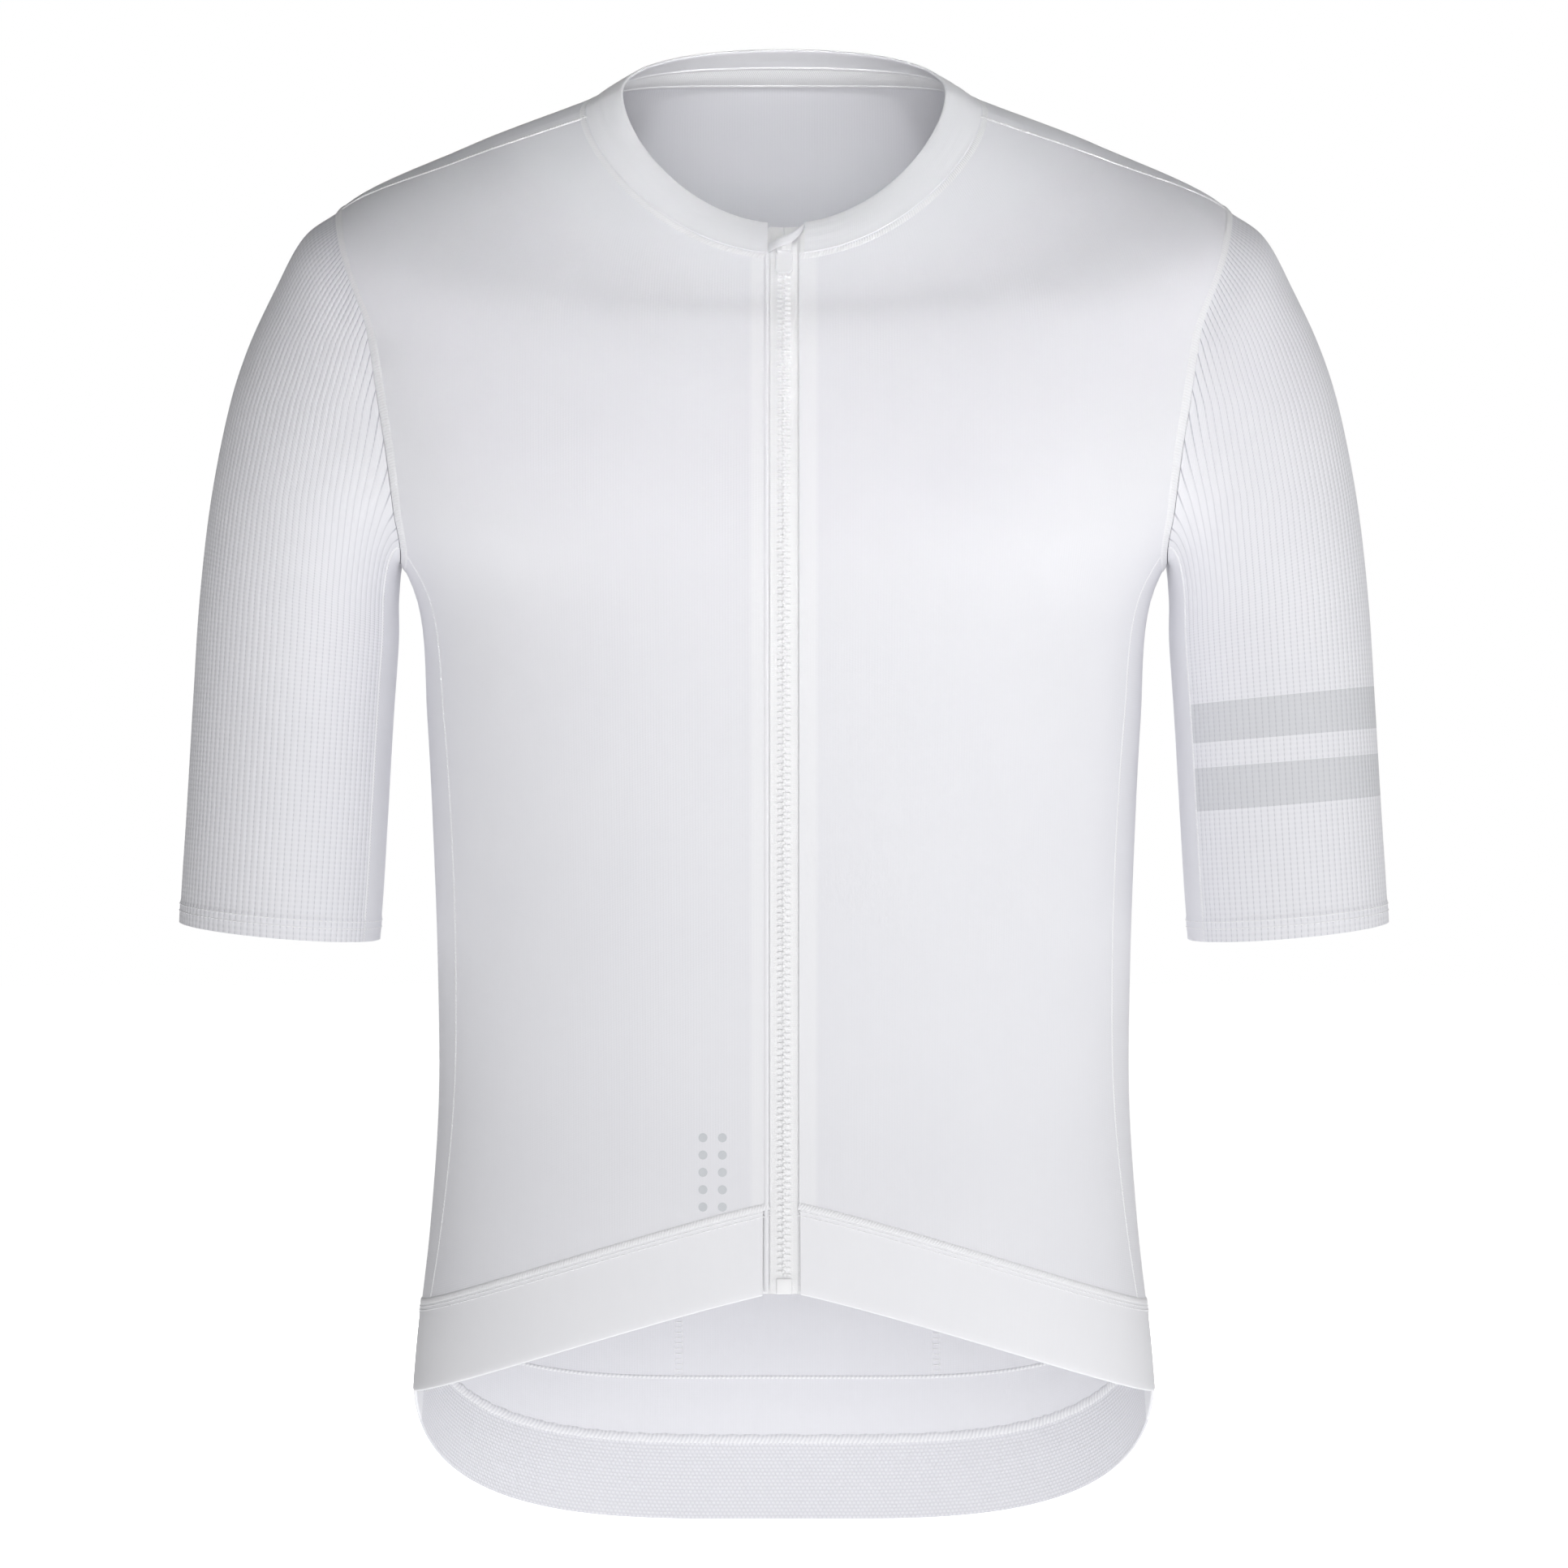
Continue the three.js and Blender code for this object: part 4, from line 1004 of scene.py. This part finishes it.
class JERSEY_OT_hem(bpy.types.Operator):
    """Sew the folded front hem bands and the elastic gripper round the tail"""

    bl_idname = "jersey.hem"
    bl_label = "Hem bands"

    def execute(self, context):
        for side in SIDES:
            inner = 9.7 if side == "right" else 7.5
            start = zip_around_at(inner, HEM_FRONT_MIDDLE + HEM_BAND)
            around = np.concatenate([
                blend(start, SIDE_FRONT_BOTTOM, steps(FRONT_COLUMNS)), SIDE_BOTTOM[1:, 0],
            ])
            top, bottom = hem_place(around, HEM_BAND - 0.2), hem_place(around, 0.8)
            places = blend(top[None], bottom[None], steps(14)[:, None, None])
            points = folded_band(*line_on(torso_point, places, 0.4), BAND_DEPTH)[::-1]
            piece = lay_side("hem_band", side, points, cloth_uv(points), BAND_WALL)
            finish_piece(piece, "band", replaces=[f"hem_front_{side}"])
        around = np.linspace(SIDE_BACK_BOTTOM, 360 - SIDE_BACK_BOTTOM, BACK_COLUMNS + 1)
        t = steps(12)[:, None, None]
        places = blend(hem_place(around, 0)[None], hem_place(around, GRIPPER_BAND)[None], t)
        points = raised(torso_point, places, 0)
        piece = lay_cloth("gripper_band", points, cloth_uv(points, points.shape[1] // 2), GRIPPER_WALL)
        finish_piece(piece, "grip", replaces=["hem_back"])
        return {"FINISHED"}


def mirrored_line(points, normals):
    return points * (-1, 1, 1), normals * (-1, 1, 1)


def seam_for(side, line):
    return line if side == "left" else mirrored_line(*line)


def beside(points, normals, distance):
    """The same line, moved sideways over the cloth."""
    across = frames(points, normals)[1]
    return points + across * distance, normals


def inside(points, normals, depth):
    """The same line on the cloth's inner face."""
    return points - normals * depth, -normals


class JERSEY_OT_seams(bpy.types.Operator):
    """Lay the raised seams and their rows of stitches over the edges of the panels"""

    bl_idname = "jersey.seams"
    bl_label = "Seams and stitches"

    def execute(self, context):
        hem_top = np.concatenate([FRONT_BOTTOM, SIDE_BOTTOM[1:]])
        neck = line_on(torso_point, np.concatenate([NECK_FRONT, NECK_BACK[1: NECK_BACK_STEPS // 2 + 1]]))
        ridges = {
            "shoulder": ("front_panel", line_on(torso_point, SHOULDER_SEAM), 2.2, 0.5),
            "side_front": ("side_panel", line_on(torso_point, SIDE_FRONT), 1.8, 0.3),
            "side_back": ("side_panel", line_on(torso_point, BACK_SIDE), 1.8, 0.3),
            "neck": ("front_panel", beside(*neck, 2.1), 3.4, 0.25),
            "hem": ("hem_band", beside(*line_on(torso_point, hem_top, 0.3), 1.2), 3.4, 0.32),
        }
        for turn, place in zip(UNDERARM_TURNS, ("front", "back")):
            along = np.linspace(0, CUFF, 120)
            places = np.stack([np.full(120, float(turn)), along], -1)
            points, normals = line_on(sleeve_point, places, 0, SLEEVE_STEPS)
            ridges[f"underarm_{place}"] = ("sleeve_strip", (points, normals), 1.8, 0.35)
        for name, (cloth, line, width, height) in ridges.items():
            for side in SIDES:
                ridge = seam_ridge(f"{name}_seam_{side}", *seam_for(side, line), width, height)
                sew_on(f"{cloth}_{side}", ridge, "cover")

        # The armhole seam's allowance lies flat on the body, under a crowned row of cover thread.
        share = np.linspace(-1, 1, 9)
        middle = (ARMHOLE.min(0) + ARMHOLE.max(0)) / 2
        spread = (
            np.array((1.9, 0.06)) * jersey_settings().seam_width / 2.6 * (share[:, None, None] + 0.85) / 2
        )
        places = ARMHOLE[None] + unit((ARMHOLE - middle) / (ARMHOLE_REACH, 1.8)) * spread
        crown = 0.12 + 0.38 * np.sqrt(1 - share**2)[:, None] - 0.35 * (np.abs(share) == 1)[:, None]
        points = raised(torso_point, places, crown)[::-1]
        uv = cloth_uv(points)[..., ::-1]
        for side in SIDES:
            sew_on(f"sleeve_panel_{side}", lay_side("armhole_seam", side, points, uv, SEAM_WALL), "cover")

        # Two rows of stitches run along the top of each hem band and round each cuff.
        turns = np.linspace(0, 360, 160)
        hem_rows = [beside(*line_on(torso_point, hem_top, 0.42), offset) for offset in (3.6, 5.4)]
        cuff_rows = [
            line_on(sleeve_point, np.stack([turns, np.full(160, place)], -1), 0.35, SLEEVE_STEPS)
            for place in (9.72, 9.56)
        ]
        for side in SIDES:
            for name, cloth, slot, lines in (
                ("hem", "hem_band", "band_cloth", hem_rows),
                ("cuff", "sleeve_panel", "sleeve_cloth", cuff_rows),
            ):
                rows = [stitch_row("row", *seam_for(side, line)) for line in lines]
                sew_on(f"{cloth}_{side}", joined(f"{name}_stitches_{side}", rows), "thread")

        # The gripper is joined with an overlocked seam inside and a flat one outside.
        around = np.linspace(SIDE_BACK_BOTTOM, 360 - SIDE_BACK_BOTTOM, 300)
        gripper = line_on(torso_point, hem_place(around, GRIPPER_BAND))
        # Overlocking waves a little, because the mesh is stretched while it is sewn.
        wave = 0.3 * np.sin(around * 1.9 + 2 * np.sin(around * 0.37)) + 0.2 * np.sin(around * 4.3)
        points, normals = inside(*beside(*gripper, -1.8), 0.8)
        points = points + normals * 0.2 * wave[:, None] + frames(points, normals)[1] * 0.6 * wave[:, None]
        sew_on("gripper_band", seam_ridge("gripper_overlock", points, normals, 5.2, 0.9), "overlock")
        sew_on("gripper_band", seam_ridge("gripper_seam", *gripper, 2.0, 0.3), "cover")

        # Tape over the neck seam, inside the back of the collar
        around = np.linspace(98, 262, 120)
        rows = np.linspace(0.08, 0.55, 11)
        places = np.stack(np.broadcast_arrays(around[None, :], NECK + rows[:, None]), -1)
        normals = normal_at(body_point, *split(places))
        crown = 1.75 + 0.9 * np.sin(np.linspace(0, np.pi, len(rows)))[:, None, None]
        points = (body_point(*split(places)) - normals * crown)[:, ::-1]
        tape = lay_cloth("neck_tape", points, cloth_uv(points), NECK_TAPE_WALL)
        finish_piece(tape, "tape")
        edges = joined("neck_tape_seams", [
            seam_ridge("edge", body_point(*split(row)) - normal * 1.9, -normal, 1.6, 0.4)
            for row, normal in ((places[0], normals[0]), (places[-1], normals[-1]))
        ])
        sew_on("neck_tape", edges, "thread")
        return {"FINISHED"}


POCKET_EDGES = ("outer_left", "left", "right", "outer_right")


def pocket_edge(edge, up):
    """Degrees round the body to an edge of the pockets, at places up the rings."""
    if edge in ("left", "right"):
        return 180 - around_at_x(POCKET_SEAM_LEFT if edge == "left" else POCKET_SEAM_RIGHT, up)
    return np.full(np.shape(up), float(POCKET_OUTER if edge == "outer_left" else 360 - POCKET_OUTER))


def pocket_places(edges):
    """Places of one pocket bag, from its foot up to its mouth."""
    s, t = steps(POCKET_COLUMNS)[None, :], steps(POCKET_ROWS)[:, None]
    up = np.full((POCKET_ROWS + 1, POCKET_COLUMNS + 1), float(up_at_height(180, POCKET_MOUTH)))
    for _ in range(5):
        around = blend(pocket_edge(edges[0], up), pocket_edge(edges[1], up), s)
        x = np.abs(torso_point(around, up)[..., 0])
        foot = POCKET_FOOT + POCKET_FOOT_RISE * (x / POCKET_FOOT_AT) ** POCKET_FOOT_POWER
        up = up_at_height(around, blend(foot, POCKET_MOUTH, t))
    return np.stack([around, up], -1)


class JERSEY_OT_pockets(bpy.types.Operator):
    """Sew the three rear pockets, stitched down at their foot and sides, open at the mouth"""

    bl_idname = "jersey.pockets"
    bl_label = "Rear pockets"

    def execute(self, context):
        for name, edges in zip(("left", "middle", "right"), zip(POCKET_EDGES, POCKET_EDGES[1:])):
            places = pocket_places(edges)
            s, t = steps(POCKET_COLUMNS)[None, :], steps(POCKET_ROWS)[:, None]
            bulge = POCKET_BULGE * np.sin(np.pi * s) * t**POCKET_OPENING
            slack = 0.5 * np.sin(np.pi * s) ** 2 * np.sin(np.pi * t) * np.sin(9 * s + 5 * t + 2)
            mouth = 0.5 * np.clip((t - 0.925) * 60, 0, 1)
            stand_off = (POCKET_GAP + 0.7) * np.sin(np.pi * np.clip(s, 0.02, 0.98)) ** 0.4
            points = raised(torso_point, places, 0.1 + stand_off + bulge + slack + mouth)
            cloth = f"pocket_bag_{name}"
            bag = lay_cloth(cloth, points, cloth_uv(points), POCKET_WALL)
            finish_piece(bag, "knit", replaces=[f"pocket_{name}"])
            below_mouth = POCKET_ROWS - 2
            edge = points[below_mouth], normal_at(torso_point, *split(places[below_mouth]))
            foot = line_on(torso_point, places[0], 0.25)
            foot_inside = inside(*foot, 1.0)
            sew_on(cloth, stitch_row(f"pocket_mouth_stitches_{name}", *edge), "thread")
            sew_on(cloth, seam_ridge(f"pocket_foot_seam_{name}", *foot, 2.2, 0.5), "cover")
            sew_on(cloth, seam_ridge(f"pocket_foot_stitches_{name}", *foot_inside, 2.0, 0.5), "overlock")
        up = np.linspace(*(float(up_at_height(180, z)) for z in (POCKET_FOOT, POCKET_MOUTH)), 60)
        for name in POCKET_EDGES:
            line = line_on(torso_point, np.stack([pocket_edge(name, up), up], -1), 0.4)
            sew_on("back_panel", seam_ridge(f"pocket_partition_{name}", *line, 2.4, 0.45), "cover")
            behind = inside(*line, 1.25)
            rungs = stitch_row("rungs", *behind, 2.6, (0.6, 3.4, 0.6), 90)
            rails = [stitch_row("rail", *beside(*behind, x), 2.6, (0.6, 2.3, 0.6)) for x in (1.8, -1.8)]
            sew_on("back_panel", joined(f"pocket_ladder_{name}", [rungs, *rails]), "thread")
        return {"FINISHED"}


def zip_line(start, end, count=400):
    """Points up the middle of the zip and the outward normals there."""
    up = np.linspace(float(start), float(end), count)
    return body_point(np.zeros(count), up), normal_at(body_point, np.zeros(count), up, 1, 0.05)


def zip_matrix(up, out_shift=0.0, up_shift=0.0):
    """A place on the zip, in metres: its X across the zip, Y up along it and Z out of the cloth."""
    point, normal = (values[0] for values in zip_line(up, up, 1))
    x = np.array((1.0, 0.0, 0.0))
    y = np.cross(normal, x)
    origin = (point + normal * out_shift + y * up_shift) * MM
    return Matrix([[x[i], y[i], normal[i], origin[i]] for i in range(3)] + [[0, 0, 0, 1]])


def block(name, low, high, bevel, segments=2):
    """A cube stretched between two corners, in millimetres, with its edges rounded."""
    select_only()
    bpy.ops.mesh.primitive_cube_add(size=1)
    piece = bpy.context.object
    piece.name = piece.data.name = name
    size = [(b - a) * MM for a, b in zip(low, high)]
    middle = [(b + a) / 2 * MM for a, b in zip(low, high)]
    piece.data.transform(Matrix.Translation(middle) @ Matrix.Diagonal((*size, 1)))
    bpy.ops.object.mode_set(mode="EDIT")
    bpy.ops.mesh.select_all(action="SELECT")
    bpy.ops.mesh.bevel(offset=bevel * MM, segments=segments)
    bpy.ops.object.mode_set(mode="OBJECT")
    return piece


def tooth_shape():
    """One moulded tooth: a rounded head past the middle of the zip and a narrower stem on the tape."""
    head = block("head", (-0.5, -0.85, TEETH_FOOT + 0.2), (1.15, 0.85, TEETH_RISE), 0.3, 1)
    stem = block("stem", (0.95, -0.6, TEETH_FOOT), (3.1, 0.6, TEETH_RISE - 0.35), 0.22, 1)
    return joined("tooth", [head, stem])


def rounded_tab():
    """The pull's flat tab, hanging down from its neck, with its lower corners rounded."""
    tab = block("tab", (-PULL_HALF, -PULL_LENGTH, -0.55), (PULL_HALF, -PULL_NECK, 0.55), 0.3, 2)
    bpy.ops.object.mode_set(mode="EDIT")
    bpy.ops.mesh.select_all(action="SELECT")
    bpy.ops.mesh.subdivide(number_cuts=11)
    bpy.ops.object.mode_set(mode="OBJECT")
    for vertex in tab.data.vertices:
        past = max(0.0, -PULL_LENGTH + PULL_TIP - vertex.co.y / MM)
        half = PULL_HALF - PULL_TIP + math.sqrt(max(PULL_TIP**2 - past**2, 0.0))
        vertex.co.x *= half / PULL_HALF
    return tab


class JERSEY_OT_zip(bpy.types.Operator):
    """Build the zip: tapes, two rows of teeth, bottom stop, slider, pull tab and garage flap"""

    bl_idname = "jersey.zip"
    bl_label = "Zip"

    def execute(self, context):
        bottom_up = float(up_at_height(1, HEM_FRONT_MIDDLE - 1))
        stop_top = float(up_at_height(1, HEM_FRONT_MIDDLE + 6.6))
        up = np.linspace(bottom_up, NECK + 0.9, 200)
        line, out = zip_line(stop_top, TEETH_END)
        pitch = jersey_settings().tooth_pitch
        for side, sign in zip(SIDES, (1, -1)):
            x = np.array((0.15, 2, 4, 5.5, 6, 6.4, 6.75, 8, 11, TAPE_HALF))
            places = np.stack(np.broadcast_arrays(around_at_x(x[None, :], up[:, None]), up[:, None]), -1)
            face = normal_at(body_point, np.zeros(200), up, 1, 0.05)[:, None]
            dip = blend(TAPE_SEEN, TAPE_FACE, np.clip((x - 6.4) / 0.7, 0, 1))
            points = body_point(*split(places)) + face * dip[None, :, None]
            uv = cloth_uv(points)
            tape = lay_side("zip_tape_cloth", side, points, uv, ZIP_TAPE_WALL)
            finish_piece(tape, "tape", replaces=[f"zip_tape_{side}"])

            at, normal = resample(line, out, pitch, 1.2 if sign > 0 else 1.2 + pitch / 2)
            across = np.tile((sign * 1.0, 0, 0), (len(at), 1))
            along = np.cross(normal, across)
            teeth = repeat_along(f"zip_tooth_row_{side}", tooth_shape(), at, along, across, normal)
            finish_piece(teeth, "plastic", replaces=[f"zip_teeth_{side}"])

        stop = block(
            "zip_bottom_stop", (-STOP_HALF, 0, TEETH_FOOT), (STOP_HALF, STOP_LENGTH, STOP_TOP), 0.6, 3,
        )
        stop.data.transform(zip_matrix(bottom_up))
        smooth(stop, 40)
        finish_piece(stop, "plastic", replaces=["zip_retainer"])

        body = block("plate", (-SLIDER_HALF, 0, TEETH_FOOT), (SLIDER_HALF, SLIDER_LENGTH, SLIDER_TOP), 0.7, 3)
        bridge_end = SLIDER_LENGTH - BRIDGE_INSET
        bridge = block(
            "bridge", (-BRIDGE_HALF, BRIDGE_INSET, 1.2), (BRIDGE_HALF, bridge_end, BRIDGE_TOP), 0.5, 3,
        )
        slider = joined("zip_slider_body", [body, bridge])
        slider.data.transform(zip_matrix(SLIDER_UP))
        smooth(slider, 40)
        finish_piece(slider, "plastic", replaces=["zip_slider"])

        tab = rounded_tab()
        neck = block("neck", (-3.3, -PULL_NECK - 0.8, -0.5), (3.3, 0.5, 0.5), 0.35, 2)
        pull = joined("pull_tab", [tab, neck])
        seat = zip_matrix(PULL_UP)
        seat.translation = Vector(PULL_PIN) * MM
        pull.data.transform(seat)
        smooth(pull, 40)
        finish_piece(pull, "puller", body="pull", replaces=["zip_pull"])

        # The fold of cloth that keeps the slider off the throat
        s, t = steps(64)[None, :], steps(14)[:, None]
        across = blend(FLAP_RIGHT, FLAP_LEFT, s) * np.ones_like(t)
        place_up = NECK + blend(blend(0.03, 0.81, s**4), blend(0.3, 0.97, s**3), t)
        normal = np.array(zip_matrix(SLIDER_UP))[:3, 2]
        arch = FLAP_RISE * (1 - np.abs(2 * s - 1) ** 2.4) - 0.5 * np.abs(2 * t - 1) ** 4
        points = body_point(around_at_x(across, place_up), place_up) + normal * arch[..., None]
        flap = lay_cloth("garage_flap", points, cloth_uv(points), FLAP_WALL)
        finish_piece(flap, "band", replaces=["zip_garage"])

        # A turned edge runs up beside the teeth on the wearer's right.
        up = np.linspace(bottom_up + 0.02, NECK, 260)
        places = np.stack([around_at_x(8.2, up), up], -1)
        points, normals = mirrored_line(*line_on(body_point, places, 0.05, (1, 0.05)))
        edge = seam_ridge("placket_edge", points, normals, 2.2, 0.55)
        sew_on("front_panel_right", edge, "band")
        return {"FINISHED"}


class JERSEY_OT_reflectors(bpy.types.Operator):
    """Press a small grid of reflective dots on the front, above the hem"""

    bl_idname = "jersey.reflectors"
    bl_label = "Reflective dots"

    def execute(self, context):
        x, z = (grid.ravel() for grid in np.meshgrid((28.5, 37.5), np.linspace(-496, -464, 5)))
        up = up_at_height(14, z)
        around = around_at_x(x, up)
        points, normals = mirrored_line(*line_on(torso_point, np.stack([around, up], -1), 0.02))
        select_only()
        bpy.ops.mesh.primitive_cylinder_add(vertices=20, radius=2.1 * MM, depth=0.12 * MM)
        across = unit(np.cross((0, 0, 1.0), normals))
        dots = repeat_along(
            "reflective_dots", context.object, points, np.cross(normals, across), across, normals,
        )
        sew_on("front_panel_right", dots, "reflective")
        return {"FINISHED"}


class JERSEY_OT_cuts(bpy.types.Operator):
    """An empty step, which changes nothing"""

    bl_idname = "jersey.cuts"
    bl_label = "Cloth cuts"

    def execute(self, context):
        return {"FINISHED"}


class JERSEY_OT_studio(bpy.types.Operator):
    """Set the pale floor, the soft lights and the camera at the photograph's angle"""

    bl_idname = "jersey.studio"
    bl_label = "Studio"

    def execute(self, context):
        scene = context.scene
        studio = scene.studio
        scene.view_settings.view_transform = "Standard"
        world = bpy.data.worlds.new("studio_air")
        scene.world = world
        world.use_nodes = True
        tree = world.node_tree
        tree.nodes.clear()
        seen = add_node(tree, "ShaderNodeLightPath", output="Is Camera Ray")
        ambient = add_node(tree, "ShaderNodeBackground", {"Color": (1, 1, 1, 1), "Strength": studio.ambient})
        white = add_node(tree, "ShaderNodeBackground", {"Color": (1, 1, 1, 1), "Strength": 1.0})
        mixed = add_node(tree, "ShaderNodeMixShader", {0: seen, 1: ambient, 2: white})
        add_node(tree, "ShaderNodeOutputWorld", {"Surface": mixed})

        # A large soft key by the camera and a weak one above it, a side fill on the wearer's left, a rear
        # light for the back, and two weak ones for the neck and the inside of the tail
        for name, place, aim, size, spread, share in (
            ("key", (0, -3.2, -0.3), (0, 0, -0.3), 2.0, 180, 1),
            ("high", (0, -2.2, 1.9), (0, 0, -0.3), 2.0, 180, 0.12),
            ("side", (2.5, -0.8, 0.2), (0, 0, -0.3), 2.8, 180, 0.42),
            ("rear", (0, 3.0, 0.2), (0, 0, -0.3), 2.0, 180, 1.0),
            ("neck", (0.1, -2.0, 1.3), (0, 0.04, 0.02), 0.3, 17, 0.0042),
            ("tail", (0, 0, -0.72), (0, 0, 0), 1.0, 180, 0.007),
        ):
            bpy.ops.object.light_add(type="AREA", location=place)
            light = context.object
            light.name = f"{name}_light"
            light.data.shape = "DISK"
            light.data.size = size
            light.data.spread = math.radians(spread)
            light.data.energy = studio.key_power * share
            light.visible_camera = False
            light.rotation_euler = (Vector(aim) - Vector(place)).to_track_quat("-Z", "Y").to_euler()

        select_only()
        bpy.ops.mesh.primitive_circle_add(
            vertices=96, radius=14, fill_type="NGON", location=(0, 0, FLOOR_HEIGHT),
        )
        floor = context.object
        floor.name = "studio_floor"
        paint, tree, shader = start_material("matt_white_floor_paint", roughness=0.9)
        tree.links.new(mottle(tree, "FBFBFB", "F8F8F8", 2), shader.inputs["Base Color"])
        shader.inputs["Emission Color"].default_value = (1, 1, 1, 1)
        # The camera sees the floor plain white, and the jersey gets a softer light from it.
        seen = add_node(tree, "ShaderNodeLightPath", output="Is Camera Ray")
        glow = {0: seen, 1: 1 - studio.floor_glow, 2: studio.floor_glow}
        glow = add_node(tree, "ShaderNodeMath", glow, operation="MULTIPLY_ADD")
        tree.links.new(glow, shader.inputs["Emission Strength"])
        floor.data.materials.append(paint)

        bpy.ops.object.camera_add(location=(0, -CAMERA_DISTANCE, CAMERA_HEIGHT), rotation=(math.pi / 2, 0, 0))
        camera = context.object
        camera.data.sensor_width = 36
        camera.data.lens = 36 * CAMERA_DISTANCE / VIEW_WIDTH
        camera.data.clip_end = 60
        scene.camera = camera
        return {"FINISHED"}


STEPS = (
    JERSEY_OT_finishes,
    JERSEY_OT_studio,
    JERSEY_OT_fronts,
    JERSEY_OT_sides,
    JERSEY_OT_back,
    JERSEY_OT_sleeves,
    JERSEY_OT_collar,
    JERSEY_OT_hem,
    JERSEY_OT_seams,
    JERSEY_OT_pockets,
    JERSEY_OT_zip,
    JERSEY_OT_reflectors,
    JERSEY_OT_cuts,
)


class JERSEY_PT_panel(bpy.types.Panel):
    """The jersey's settings and its steps, in sewing order"""

    bl_idname = "JERSEY_PT_panel"
    bl_label = "Jersey"
    bl_space_type = "VIEW_3D"
    bl_region_type = "UI"
    bl_category = "Jersey"

    def draw(self, context):
        for group in (context.scene.jersey, context.scene.studio):
            for name in group.__annotations__:
                self.layout.prop(group, name)
        for step in STEPS:
            self.layout.operator(step.bl_idname)


CLASSES = (JerseySettings, StudioSettings, *STEPS, JERSEY_PT_panel)


def register():
    for made in CLASSES:
        bpy.utils.register_class(made)
    bpy.types.Scene.jersey = bpy.props.PointerProperty(type=JerseySettings)
    bpy.types.Scene.studio = bpy.props.PointerProperty(type=StudioSettings)


def unregister():
    del bpy.types.Scene.jersey
    del bpy.types.Scene.studio
    for made in reversed(CLASSES):
        bpy.utils.unregister_class(made)


def main():
    register()
    for step in STEPS:
        group, name = step.bl_idname.split(".")
        getattr(getattr(bpy.ops, group), name)()


if __name__ == "__main__":
    main()
